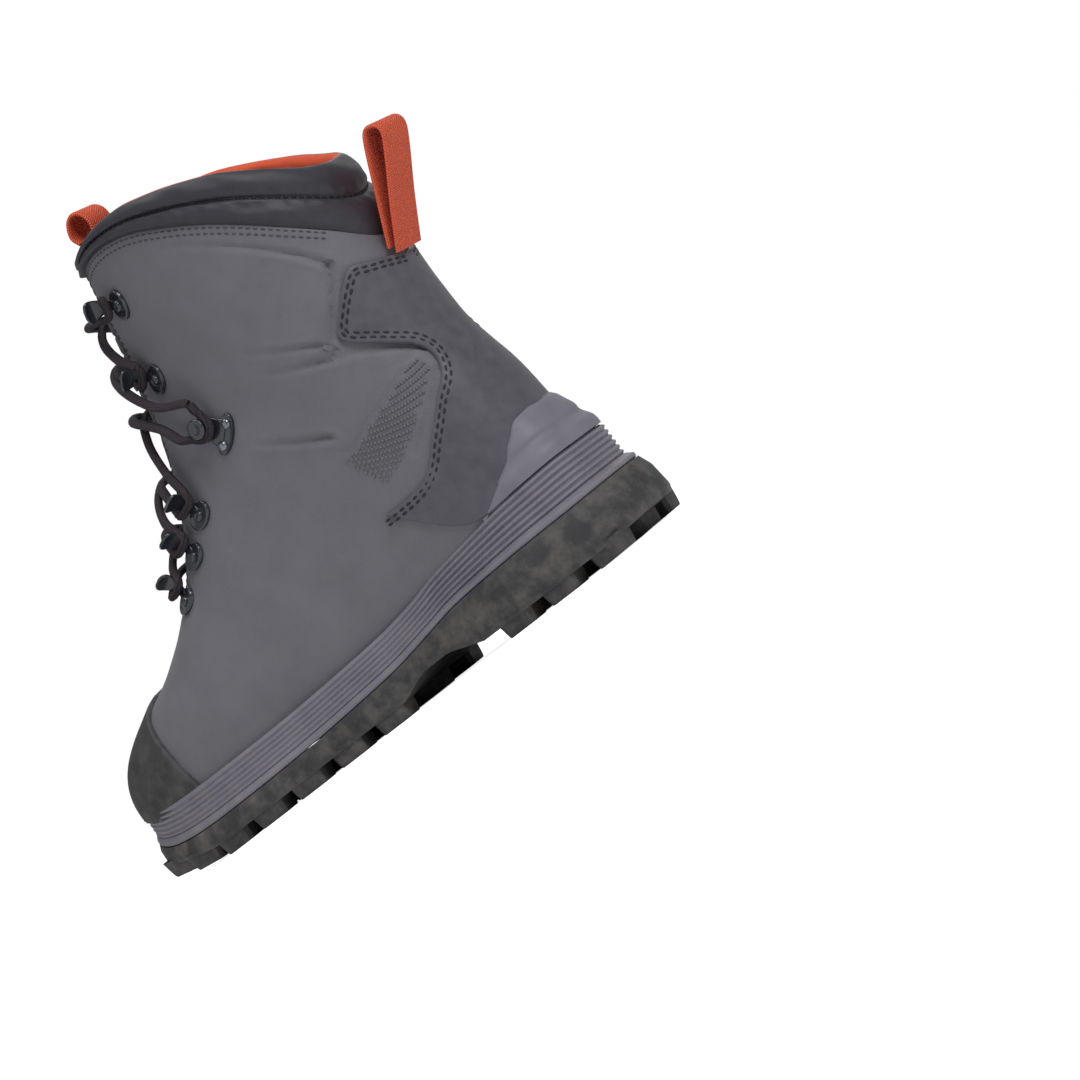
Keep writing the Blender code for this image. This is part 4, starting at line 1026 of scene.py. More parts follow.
class Shell:
    """Places on the upper that several pieces share: throat, border and edge lines."""

    def __init__(self, form: Form) -> None:
        """Measure the form.

        Args:
            form: the boot's form.
        """
        self.form = form
        self.border = HeightLine(BORDER)
        self.collar_tops = {1: HeightLine(COLLAR_TOP), -1: HeightLine(COLLAR_TOP_INNER)}
        self.relief = Relief(form, SHAFT_MARKS, 0.0004)
        self.rows = np.linspace(0, 1, 80)
        self.girths = np.array([form.half_girth(row) for row in self.rows])

    def girth(self, row: Array) -> Array:
        """Half girth at row shares."""
        return np.interp(row, self.rows, self.girths)

    def throat(self, row: Array) -> Array:
        """Half width of the throat at row shares."""
        front = self.form.at(row, 1.0)
        end = length_at(100 * THROAT_TOE / LENGTH) + 0.5 * THROAT_HALF
        ahead = (end - front[..., 0]) / THROAT_HALF
        return THROAT_HALF * np.sqrt(np.clip(ahead, 0, 1))

    def limit(self, row: Array, clear: float = 0.0) -> Array:
        """Side share of the throat's edge, less a distance."""
        half = self.throat(row)
        return 1 - np.where(half > 0, half + clear, 0.0) / self.girth(row)

    def border_row(self, side: Array) -> Array:
        """Row of the shaft's border at side shares."""
        return np.array([self.form.row_where(s, self.border) for s in np.atleast_1d(side)])


@dataclass
class Upper:
    """The grey shell with its pressed marks; sizes in metres."""
    form: Form
    shell: Shell
    foot_rows: int = 96
    shaft_rows: int = 130
    around: int = 96
    shaft_from: float = 0.52
    edge_roll: float = 0.0006
    edge_width: float = 0.0014
    under: float = 0.004

    def build(self) -> bpy.types.Object:
        """Build the shell, give it its wall and tie it to the frame."""
        share = np.concatenate((np.linspace(0, self.shaft_from, self.foot_rows)[:-1],
                                np.linspace(self.shaft_from, 1, self.shaft_rows)))
        across = np.linspace(-1, 1, 2 * self.around + 1)
        top = self.shell.border_row(across * self.shell.limit(np.array([0.93])))
        rows = share[:, None] * top[None, :]
        sides = across[None, :] * self.shell.limit(rows)
        points, normals = self.form.read(rows, sides)
        flat = points.reshape(-1, 3)
        lift = self.shell.relief(flat).reshape(rows.shape)
        throat = self.shell.throat(rows)
        from_throat = (1 - np.abs(sides)) * self.shell.girth(rows) - throat
        from_throat = np.where(throat > 0, from_throat, 1.0)
        from_top = (top[None, :] - rows) * ROW_MM * MM
        for gap in (from_throat, from_top):
            lift -= self.edge_roll * np.exp(-(gap / self.edge_width) ** 2)
        flat = (points + normals * lift[..., None]).reshape(-1, 3)
        bed = level("bed")
        deep = flat[:, 2] < bed(flat[:, 0]) - self.under
        faces = [face[::-1] for face in grid_faces(*rows.shape)
                 if not all(deep[k] for k in face)]
        thing = make_mesh("upper_shell", flat, faces,
                          [SHAFT.make(), INSIDE.make()], weld=WELD)
        wall = thing.modifiers.new("wall", "SOLIDIFY")
        wall.thickness = WALL
        wall.offset = -1.0
        wall.material_offset = 1
        wall.material_offset_rim = 0
        bake(thing)
        return settle(thing, ("upper",))


def bake(thing: bpy.types.Object) -> bpy.types.Object:
    """Turn an object's modifiers into its plain mesh.

    Args:
        thing: the object.

    Returns:
        The same object, with no modifier left.
    """
    graph = bpy.context.evaluated_depsgraph_get()
    graph.update()
    done = thing.evaluated_get(graph)
    mesh = bpy.data.meshes.new_from_object(done, preserve_all_data_layers=True, depsgraph=graph)
    thing.modifiers.clear()
    old = thing.data
    thing.data = mesh
    mesh.name = thing.name
    bpy.data.meshes.remove(old)
    return thing


def set_layout(thing: bpy.types.Object, places: Array) -> None:
    """Give a mesh its own layout, one place for each point, in millimetres."""
    layer = thing.data.uv_layers.new(name="layout")
    loops = np.empty(len(thing.data.loops), np.int32)
    thing.data.loops.foreach_get("vertex_index", loops)
    layer.data.foreach_set("uv", np.asarray(places, np.float32)[loops].ravel())


@dataclass
class Patch:
    """An overlay cut to an outline on the form, with a rounded edge; sizes in metres."""
    form: Form
    outline: Array
    rise: float
    pitch: float = 2.0
    base: float = 0.0003
    edge: tuple[tuple[float, float], ...] = ((0.0, -0.25), (0.0, 0.45), (0.0003, 0.80), (0.0009, 1.0))

    def build(self, name: str, finish: Finish, relief: Callable[[Array], Array]) -> bpy.types.Object:
        """Build the overlay.

        Args:
            name: its name.
            finish: its finish.
            relief: extra height at world points.

        Returns:
            The overlay as one mesh object.
        """
        scale = np.array([ROW_MM, SIDE_MM])
        line = resample(self.outline, 1.3, scale, closed=True)
        flat = line * scale
        turn = np.roll(flat, -1, axis=0)
        if (flat[:, 0] * turn[:, 1] - turn[:, 0] * flat[:, 1]).sum() < 0:
            line, flat = line[::-1], flat[::-1]
        points, normals = self.form.read(*line.T)
        along = unit(np.roll(points, -1, axis=0) - np.roll(points, 1, axis=0))
        left = np.cross(normals, along)
        rings = [points + inset * left + (self.base + self.rise * share) * normals
                 for inset, share in self.edge]
        rings[-1] = rings[-1] + relief(points)[:, None] * normals
        inner = self.fill(flat) / scale
        spots, ways = self.form.read(*inner.T)
        lift = self.base + self.rise + relief(spots)
        spots = spots + ways * lift[:, None]
        count = len(line)
        every = np.vstack((flat, inner * scale))
        edges = [(k, (k + 1) % count) for k in range(count)]
        out, _, found, origin, _, _ = delaunay_2d_cdt([Vector(map(float, p)) for p in every], edges,
                                                      [], 1, 1e-4)
        verts = list(np.concatenate(rings))
        faces = []
        for ring in range(len(rings) - 1):
            low, high = ring * count, (ring + 1) * count
            faces += [(low + k, low + (k + 1) % count, high + (k + 1) % count, high + k)
                      for k in range(count)]
        last = (len(rings) - 1) * count
        number = []
        for k in range(len(out)):
            source = origin[k][0] if origin[k] else -1
            if 0 <= source < count:
                number.append(last + source)
            else:
                place = spots[source - count] if source >= count else self.loose(out[k], scale)
                verts.append(place)
                number.append(len(verts) - 1)
        faces += [tuple(number[k] for k in face) for face in found]
        return make_mesh(name, np.array(verts), faces, [finish.make()], sharp=60.0)

    def loose(self, spot: Vector, scale: Array) -> Array:
        """World place of a point that the filling added."""
        return self.form.at(spot[0] / scale[0], spot[1] / scale[1], self.base + self.rise)

    def fill(self, flat: Array) -> Array:
        """Points in even rows inside the outline.

        Args:
            flat: the outline, in millimetres of the layout.

        Returns:
            The points, in millimetres of the layout.
        """
        low, high = flat.min(axis=0), flat.max(axis=0)
        u = np.arange(low[0], high[0], self.pitch * 0.87)
        v = np.arange(low[1], high[1], self.pitch)
        grid = np.array([(a, b + (0.5 * self.pitch if k % 2 else 0.0))
                         for k, a in enumerate(u) for b in v])
        grid = grid[inside(grid, flat)]
        gap = np.min(np.linalg.norm(grid[:, None] - flat[None], axis=2), axis=1)
        return grid[gap > 0.55 * self.pitch + 0.6]


def inside(points: Array, outline: Array) -> Array:
    """Which points lie inside a closed outline.

    Args:
        points: flat points in rows.
        outline: the outline's points in order.

    Returns:
        True for each point inside.
    """
    result = np.zeros(len(points), bool)
    following = np.roll(outline, -1, axis=0)
    for (ax, ay), (bx, by) in zip(outline, following):
        if ay == by:
            continue
        crosses = (ay > points[:, 1]) != (by > points[:, 1])
        result ^= crosses & (points[:, 0] < (bx - ax) * (points[:, 1] - ay) / (by - ay) + ax)
    return result


def follow(places: Sequence[tuple[float, float]], step: float = 1.5) -> Array:
    """A smooth line through row and side places, evenly spaced."""
    places = np.asarray(places, float)
    line = catmull(places, np.linspace(0, len(places) - 1, 12 * len(places)))
    return resample(line, step, np.array([ROW_MM, SIDE_MM]))


def beside(form: Form, line: Array, distance: float) -> Array:
    """World points and normals of a line moved sideways over the form.

    Args:
        form: the boot's form.
        line: row and side places.
        distance: how far to the left, in metres.

    Returns:
        Points and normals side by side, six numbers in a row.
    """
    points, normals = form.read(line[:, 0], line[:, 1])
    left = np.cross(normals, heading(points))
    return np.hstack((points + distance * left, normals))


class Repeats:
    """Geometry Nodes trees that set one small shape along lines or on points."""

    @staticmethod
    @cache
    def tree(along_line: bool) -> bpy.types.NodeTree:
        """Build one of the two trees.

        Args:
            along_line: True for shapes spaced along lines, False for one on each point.

        Returns:
            The tree, with named inputs for its sizes and material.
        """
        name = "stitch_row" if along_line else "stud_field"
        tree = bpy.data.node_groups.new(name, "GeometryNodeTree")
        face = tree.interface
        face.new_socket("Geometry", in_out="INPUT", socket_type="NodeSocketGeometry")
        for key, value in (("Pitch", 0.003), ("Length", 0.0022), ("Width", 0.0008), ("Height", 0.0006)):
            face.new_socket(key, in_out="INPUT", socket_type="NodeSocketFloat").default_value = value
        face.new_socket("Segments", in_out="INPUT", socket_type="NodeSocketInt").default_value = 8
        face.new_socket("Material", in_out="INPUT", socket_type="NodeSocketMaterial")
        face.new_socket("Geometry", in_out="OUTPUT", socket_type="NodeSocketGeometry")
        shade = Shading(tree)
        entry = shade.add("NodeGroupInput")
        shape = shade.add("GeometryNodeMeshUVSphere", {"Segments": entry.outputs["Segments"],
                                                       "Rings": 5, "Radius": 0.5})
        size = shade.add("ShaderNodeCombineXYZ", {"X": entry.outputs["Length"],
                                                  "Y": entry.outputs["Width"],
                                                  "Z": entry.outputs["Height"]})
        out_way = shade.add("GeometryNodeInputNamedAttribute", {"Name": "out"},
                            data_type="FLOAT_VECTOR")
        if along_line:
            curve = shade.add("GeometryNodeMeshToCurve", {"Mesh": entry.outputs["Geometry"]})
            points = shade.add("GeometryNodeResampleCurve", {"Curve": curve.outputs[0],
                                                             "Length": entry.outputs["Pitch"]},
                               mode="LENGTH").outputs[0]
            way = shade.add("GeometryNodeInputTangent")
        else:
            points = entry.outputs["Geometry"]
            way = shade.add("GeometryNodeInputNamedAttribute", {"Name": "way"},
                            data_type="FLOAT_VECTOR")
        turn = shade.add("FunctionNodeAxesToRotation", {"Primary Axis": out_way.outputs[0],
                                                        "Secondary Axis": way.outputs[0]},
                         primary_axis="Z", secondary_axis="X")
        place = shade.add("GeometryNodeInstanceOnPoints", {"Points": points,
                                                           "Instance": shape.outputs["Mesh"],
                                                           "Rotation": turn.outputs[0],
                                                           "Scale": size.outputs[0]})
        real = shade.add("GeometryNodeRealizeInstances", {"Geometry": place.outputs[0]})
        dressed = shade.add("GeometryNodeSetMaterial", {"Geometry": real.outputs[0],
                                                        "Material": entry.outputs["Material"]})
        shade.add("NodeGroupOutput", {0: dressed.outputs[0]})
        return tree

    @classmethod
    def make(cls, name: str, lines: Sequence[Array], finish: Finish, along_line: bool = True,
             ways: Array | None = None, **sizes: float) -> bpy.types.Object:
        """Set shapes along lines or on points.

        Args:
            name: the piece's name.
            lines: rows of six numbers, a point and the way out.
            finish: the shapes' finish.
            along_line: spaced along each line, or one on each point.
            ways: direction of each point's length, for points.
            sizes: Pitch, Length, Width, Height and Segments.

        Returns:
            The shapes as one plain mesh object.
        """
        rows = np.vstack(lines)
        edges = []
        if along_line:
            start = 0
            for line in lines:
                edges += [(start + k, start + k + 1) for k in range(len(line) - 1)]
                start += len(line)
        mesh = bpy.data.meshes.new(name)
        mesh.from_pydata([tuple(map(float, r[:3])) for r in rows], edges, [])
        for key, table in (("out", rows[:, 3:6]), ("way", ways)):
            if table is not None:
                layer = mesh.attributes.new(key, "FLOAT_VECTOR", "POINT")
                layer.data.foreach_set("vector", np.asarray(table, np.float32).ravel())
        thing = bpy.data.objects.new(name, mesh)
        bpy.context.scene.collection.objects.link(thing)
        tree = cls.tree(along_line)
        step = thing.modifiers.new("repeat", "NODES")
        step.node_group = tree
        inputs = {item.name: item.identifier for item in tree.interface.items_tree
                  if item.in_out == "INPUT"}
        for key, value in sizes.items():
            step[inputs[key]] = value
        step[inputs["Material"]] = finish.make()
        bake(thing)
        thing.data.shade_smooth()
        return thing


# Front edge of the heel counter's outer side, as row and side shares
COUNTER_LINE = (
    (0.873, 0.000), (0.874, 0.018), (0.876, 0.079), (0.876, 0.118), (0.876, 0.151), (0.871, 0.174),
    (0.861, 0.196), (0.849, 0.220), (0.830, 0.253), (0.818, 0.271), (0.810, 0.273), (0.806, 0.258),
    (0.805, 0.214), (0.803, 0.175), (0.801, 0.144), (0.796, 0.129), (0.789, 0.126), (0.780, 0.133),
    (0.769, 0.148), (0.755, 0.175), (0.739, 0.206), (0.717, 0.241), (0.693, 0.277), (0.676, 0.298),
    (0.640, 0.335), (0.600, 0.365),
)


@dataclass
class Counter:
    """The charcoal overlay round the heel with its tab, and its two stitch rows."""
    form: Form
    rise: float = 0.0019
    rows_in: tuple[float, ...] = (0.0022, 0.0043)
    pitch: float = 0.0042
    thread_lift: float = 0.0003
    FOOT = ((21.0, 20.5), (15.0, 18.5), (9.0, 19.0))

    @staticmethod
    def swell(points: Array) -> Array:
        """Soft unevenness of its leather at world points."""
        return 0.0004 * wave(points, 0.06, 5.0)

    def build(self) -> list[bpy.types.Object]:
        """Build the overlay and its stitches."""
        edge = follow(COUNTER_LINE, 1.2)
        low = [self.form.place_of(length_at(a), height_at(b)) for a, b in self.FOOT]
        half = np.vstack((edge, follow([tuple(edge[-1])] + low, 2.0)[1:], [(low[-1][0] + 0.01, 0.0)]))
        other = half[::-1] * np.array([1.0, -1.0])
        outline = np.vstack((half, other[1:-1]))
        piece = Patch(self.form, outline, self.rise).build("heel_counter", COUNTER, self.swell)
        settle(piece, ("counter",))
        lines = []
        for sign in (1, -1):
            line = edge[4:] * np.array([1.0, sign])
            for inset in self.rows_in:
                row = beside(self.form, line, sign * inset)
                row[:, :3] += (self.rise + self.thread_lift) * row[:, 3:]
                lines.append(row)
        thread = Repeats.make("counter_stitches", lines, THREAD, Pitch=self.pitch, Length=0.0031,
                              Width=0.0013, Height=0.0007, Segments=8)
        return [piece, settle(thread)]


@dataclass
class Seams:
    """Stitch rows of the grey shell and the raised dots of its wing."""
    form: Form
    shell: Shell
    border_rows: tuple[float, ...] = (0.0021, 0.0046)
    throat_rows: tuple[float, ...] = (0.0028, 0.0052)
    dot_pitch: float = 2.05
    dot_lift: float = 0.0003
    dot_clear: float = 0.9
    lean: float = 32.0
    # Corners of the wing's field of dots, as row and side shares
    WING = ((0.642, 0.482), (0.705, 0.374), (0.747, 0.281), (0.778, 0.202), (0.789, 0.158),
            (0.773, 0.153), (0.755, 0.196), (0.715, 0.272), (0.675, 0.337), (0.630, 0.395))

    def build(self) -> list[bpy.types.Object]:
        """Build stitches and dots."""
        lines = []
        for sign in (1.0, -1.0):
            side = np.linspace(0.16, 0.985, 90)
            side = side[side < self.shell.limit(np.array([0.93]), 0.004)[0]]
            row = self.shell.border_row(side)
            line = np.column_stack((row, sign * side))
            for inset in self.border_rows:
                lines.append(self.on_relief(beside(self.form, line, sign * inset)))
            row = np.linspace(0.30, 0.895, 120)
            for inset in self.throat_rows:
                side = self.shell.limit(row, inset)
                points, normals = self.form.read(row, sign * side)
                lines.append(self.on_relief(np.hstack((points, normals))))
        stitches = Repeats.make("shell_stitches", lines, THREAD_GREY, Pitch=0.0032, Length=0.0023,
                                Width=0.0008, Height=0.0007, Segments=8)
        return [settle(stitches), self.dots()]

    def on_relief(self, line: Array) -> Array:
        """Lift rows of points and normals onto the pressed surface."""
        out = line.copy()
        out[:, :3] += self.shell.relief(line[:, :3])[:, None] * line[:, 3:]
        return out

    def dots(self) -> bpy.types.Object:
        """Raised dots between the wing's two lines, on both sides."""
        scale = np.array([ROW_MM, SIDE_MM])
        flat = np.array(self.WING) * scale
        low, high = flat.min(axis=0), flat.max(axis=0)
        lean = math.radians(self.lean)
        reach = float(np.linalg.norm(high - low))
        steps = np.arange(-reach, reach, self.dot_pitch)
        grid = np.array([(a, b) for a in steps for b in steps])
        turn = np.array([[math.cos(lean), math.sin(lean)], [-math.sin(lean), math.cos(lean)]])
        grid = grid @ turn + (low + high) / 2
        keep = grid[inside(grid, flat)]
        gap = np.min(np.linalg.norm(keep[:, None] - resample(flat, 1.0, closed=True)[None], axis=2),
                     axis=1)
        keep = keep[gap > self.dot_clear] / scale
        lines, ways = [], []
        for sign in (1.0, -1.0):
            points, normals = self.form.read(keep[:, 0], sign * keep[:, 1])
            ahead = self.form.at(keep[:, 0] + 0.004, sign * (keep[:, 1] + 0.004)) - points
            lines.append(self.on_relief(np.hstack((points + self.dot_lift * normals, normals))))
            ways.append(ahead)
        dots = Repeats.make("wing_dots", lines, PANEL, along_line=False, ways=np.vstack(ways),
                            Length=0.0016, Width=0.0016, Height=0.0010, Segments=6)
        return settle(dots)


@dataclass
class Collar:
    """The padded collar in two rolls, its orange lining and its seam."""
    form: Form
    shell: Shell
    pad: float = 0.0075
    tip: float = 0.0015
    puff: float = 0.0028
    around: int = 221
    profile: int = 72
    fold: float = 0.0006
    fold_draw: float = 0.35
    fold_step: float = 0.006
    pucker: float = 0.00035
    pucker_pitch: float = 0.0075
    lining_from: float = 7.75
    lining_to: float = 13.0
    seam: float = 0.49
    seam_lift: float = 0.0006
    seam_ends: float = 0.02

    def rows_at(self, side: float) -> tuple[float, float]:
        """Lower and upper row at one side share."""
        return (self.form.row_where(side, self.shell.border),
                self.form.row_where(side, self.shell.collar_tops[1 if side > 0 else -1]))

    def build(self) -> list[bpy.types.Object]:
        """Build the padding and its seam's stitches."""
        table = np.array(COLLAR_ROLLS, float)
        table[0] = (-0.05, -0.14)
        turn = np.arange(self.profile) * len(table) / self.profile
        shape = catmull(table, turn, closed=True)
        rings = []
        sides = np.linspace(-COLLAR_END, COLLAR_END, self.around)
        spans = [self.rows_at(side) for side in sides]
        for side, (low, high) in zip(sides, spans):
            fade = np.clip((abs(side) - PAD_FADE[0]) / (PAD_FADE[1] - PAD_FADE[0]), 0, 1)
            pad = self.pad + (self.tip - self.pad) * fade
            lift = np.where(shape[:, 1] > 0, shape[:, 1] * self.puff, shape[:, 1] * pad)
            rings.append(self.form.at(low + (high - low) * shape[:, 0], side, lift))
        verts = np.concatenate(rings)
        ways = np.repeat(self.form.read([high for _, high in spans], sides)[1], self.profile, axis=0)
        verts = verts + ways * self.folds(verts, sides, shape, turn)[:, None]
        faces = capped_faces(self.around, self.profile)
        columns = np.tile(np.arange(self.profile), self.around - 1)
        picks = [1 if self.lining_from <= turn[c] <= self.lining_to else 0 for c in columns]
        picks += [0, 0]
        piece = make_mesh("collar_padding", verts, faces, [COLLAR.make(), LINING.make()],
                          picks, sharp=70.0)
        settle(piece, ("collar",))
        sides = np.linspace(-COLLAR_END + self.seam_ends, COLLAR_END - self.seam_ends, 160)
        low, high = np.array([self.rows_at(side) for side in sides]).T
        points, normals = self.form.read(low + (high - low) * self.seam, sides)
        line = np.hstack((points + normals * self.seam_lift, normals))
        thread = Repeats.make("collar_stitches", [line], THREAD, Pitch=0.0034, Length=0.0026,
                              Width=0.0009, Height=0.0009, Segments=8)
        return [piece, settle(thread)]

    def folds(self, verts: Array, sides: Array, shape: Array, turn: Array) -> Array:
        """Height of the padding's folds and of the puckers at its seam.

        Args:
            verts: the collar's points, ring by ring.
            sides: the rings' side shares.
            shape: the profile's points.
            turn: the profile's places.

        Returns:
            A height for each point, in metres.
        """
        along = np.repeat(sides * SIDE_MM * MM, self.profile)
        across = np.tile(turn * self.fold_step, self.around)
        laid = np.column_stack((self.fold_draw * along, across, np.zeros(len(along))))
        soft = self.fold * wave(laid, 0.016, 3.0) + 0.5 * self.fold * wave(verts, 0.022, 8.0)
        near = np.tile(np.exp(-((np.abs(shape[:, 0] - self.seam) - 0.07) / 0.06) ** 2)
                       * (shape[:, 1] > 0), self.around)
        pucker = self.pucker * np.sin(2 * math.pi * along / self.pucker_pitch
                                      + 2.5 * wave(verts, 0.03, 4.0)) * near
        return (soft + pucker) * (1 - np.tile(self.hold(shape), self.around))

    @staticmethod
    def hold(shape: Array) -> Array:
        """How firmly the seams hold each place of the profile, from 0 to 1."""
        seam = np.exp(-((shape[:, 0] - 0.49) / 0.07) ** 2) * (shape[:, 1] > 0)
        foot = np.exp(-((shape[:, 0] + 0.05) / 0.06) ** 2)
        return np.clip(seam + foot, 0, 1)


@dataclass
class Tongue:
    """The padded tongue under the throat; sizes in metres."""
    form: Form
    shell: Shell
    thick: float = 0.0075
    half: float = 0.030
    bulge: float = 0.0035
    under: float = 0.0006
    crown_in: float = 0.002
    channel: float = 0.0010
    channel_pitch: float = 24.0
    channel_width: float = 1.6
    rows: int = 96
    across: int = 41

    def build(self) -> bpy.types.Object:
        """Build the tongue."""
        across = np.linspace(-1, 1, self.across)
        front = length_at(100 * THROAT_TOE / LENGTH) + self.half * 0.5
        rows = np.linspace(0, 1, 400)
        line = self.form.at(rows, 1.0)
        start = float(np.interp(-front, -line[:, 0], rows))
        rings, layout = [], []
        run = 0.0
        for k, row in enumerate(np.linspace(start, TONGUE_TOP, self.rows)):
            girth = self.form.half_girth(row)
            side = np.where(across < 0, -1.0, 1.0) * (1 - np.abs(across) * self.half / girth)
            crown = np.clip(1 - (np.abs(across) * self.half / (THROAT_HALF - self.crown_in)) ** 2, 0, 1)
            opening = np.clip((row - start) / (TONGUE_TOP - start) * 8 - 1.2, 0, 1)
            seat = -WALL - self.under
            ends = min(1.0, ((self.rows - 1 - k) / 3.0) ** 0.5) if k > self.rows - 5 else 1.0
            off = ((row - start) * ROW_MM) % self.channel_pitch - self.channel_pitch / 2
            channel = self.channel * math.exp(-(off / self.channel_width) ** 2)
            outer = seat + crown * opening * (WALL + self.bulge) * (0.4 + 0.6 * ends)
            outer = outer - channel * crown * opening
            inner = seat - self.thick * (0.25 + 0.75 * (1 - across ** 2)) * max(ends, 0.35)
            ring = np.concatenate((self.form.at(row, side, outer), self.form.at(row, side, inner)[::-1]))
            rings.append(ring)
            wide = np.concatenate((across, across[::-1])) * self.half / MM
            layout.append(np.column_stack((np.full(len(wide), run), wide)))
            run += ROW_MM * (TONGUE_TOP - start) / self.rows
        count = 2 * self.across
        verts = np.concatenate(rings)
        piece = make_mesh("tongue_padding", verts, capped_faces(self.rows, count),
                          [TONGUE.make()], sharp=70.0)
        set_layout(piece, np.concatenate(layout))
        return settle(piece, ("tongue",))


class Sweep:
    """Flat or round pieces drawn along a path."""
    TUBE_UP = (0.35, 0.0, 0.94)
    TUBE_END = 0.55

    @staticmethod
    def strip(name: str, path: Array, across: Array, wide: Array, thick: float, finish: Finish,
              corner: int = 5) -> bpy.types.Object:
        """Draw a flat strip with rounded edges.

        Args:
            name: its name.
            path: middle points in rows.
            across: direction of its width at each point.
            wide: its width at each point.
            thick: its thickness.
            finish: its finish.
            corner: points round each edge.

        Returns:
            The closed strip with a layout in millimetres.
        """
        along = heading(path)
        face = unit(np.cross(along, across))
        side = np.cross(face, along)
        wide = np.broadcast_to(wide, len(path))
        turn = np.linspace(-math.pi / 2, math.pi / 2, corner)
        flat = np.linspace(-1, 1, 15)[1:-1]
        rings, layout = [], []
        run = run_along(path)
        for k in range(len(path)):
            half, depth = wide[k] / 2 - thick / 2, thick / 2
            ring = [(half + depth * math.cos(a), depth * math.sin(a)) for a in turn]
            ring += [(-f * half, depth) for f in flat]
            ring += [(-a, -b) for a, b in ring]
            rings.append([path[k] + a * side[k] + b * face[k] for a, b in ring])
            layout += [(run[k] / MM, a / MM) for a, b in ring]
        count = len(rings[0])
        verts = np.concatenate([np.array(ring) for ring in rings])
        thing = make_mesh(name, verts, capped_faces(len(path), count), [finish.make()],
                          sharp=50.0)
        set_layout(thing, np.array(layout))
        return thing

    @classmethod
    def tube(cls, name: str, path: Array, radius: float, finish: Finish, flat: float = 1.0,
             count: int = 12) -> bpy.types.Object:
        """Draw a round or oval cord.

        Args:
            name: its name.
            path: middle points in rows.
            radius: its half width.
            finish: its finish.
            flat: height of its section as a share of its width.
            count: points round it.

        Returns:
            The closed tube with a layout in millimetres.
        """
        along = heading(path)
        side = unit(np.cross(along, np.tile(cls.TUBE_UP, (len(path), 1))))
        face = np.cross(side, along)
        turn = np.linspace(0, 2 * math.pi, count, endpoint=False)
        run = run_along(path)
        rings = [p + radius * (np.cos(turn)[:, None] * s + flat * np.sin(turn)[:, None] * f)
                 for p, s, f in zip(path, side, face)]
        for k in (0, -1):
            rings[k] = path[k] + cls.TUBE_END * (rings[k] - path[k])
        layout = [(a / MM, radius * b / MM) for a in run for b in turn]
        thing = make_mesh(name, np.concatenate(rings), capped_faces(len(path), count),
                          [finish.make()], sharp=70.0)
        set_layout(thing, np.array(layout))
        return thing


@dataclass
class Loops:
    """The two webbing pull loops; sizes in metres."""
    wide: float = 0.025
    tab_wide: float = 0.019
    thick: float = 0.0018

    def build(self) -> list[bpy.types.Object]:
        """Build both loops."""
        made = []
        for name, places, wide, node in (("heel_pull_loop", BACK_LOOP, self.wide, "pull_loop_back"),
                                         ("tongue_pull_loop", FRONT_LOOP, self.tab_wide,
                                          "pull_loop_front")):
            path = np.array([(length_at(p.along), 0.0, height_at(p.up)) for p in places])
            path = catmull(path, np.linspace(0, len(path) - 1, 96))
            path = resample(path, 0.0009)
            across = np.tile((0.0, 1.0, 0.0), (len(path), 1))
            strip = Sweep.strip(name, path, across, wide, self.thick, WEBBING)
            made.append(settle(strip, (node,)))
        return made


@dataclass
class Seat:
    """A place on the form with its own directions."""
    origin: Array
    ahead: Array
    up: Array
    out: Array

    @classmethod
    def on(cls, form: Form, spot: "Spot", sign: int) -> "Seat":
        """Find the seat of hardware at a spot on one side.

        Args:
            form: the boot's form.
            spot: the place of the hardware.
            sign: 1 for the outer side, -1 for the inner side.

        Returns:
            The seat.
        """
        side = sign * spot.side
        origin = form.at(spot.row, side)
        out = form.at(spot.row, side, 1.0) - origin
        ahead = form.at(spot.row, side + sign * 0.02) - origin
        ahead -= out * ahead.dot(out)
        ahead /= np.linalg.norm(ahead)
        up = np.cross(out, ahead)
        up *= 1.0 if up[2] > 0 else -1.0
        return cls(origin, ahead, up, out)

    def at(self, ahead: float, up: float, out: float) -> Array:
        """World place of distances from the seat."""
        return self.origin + self.ahead * ahead + self.up * up + self.out * out


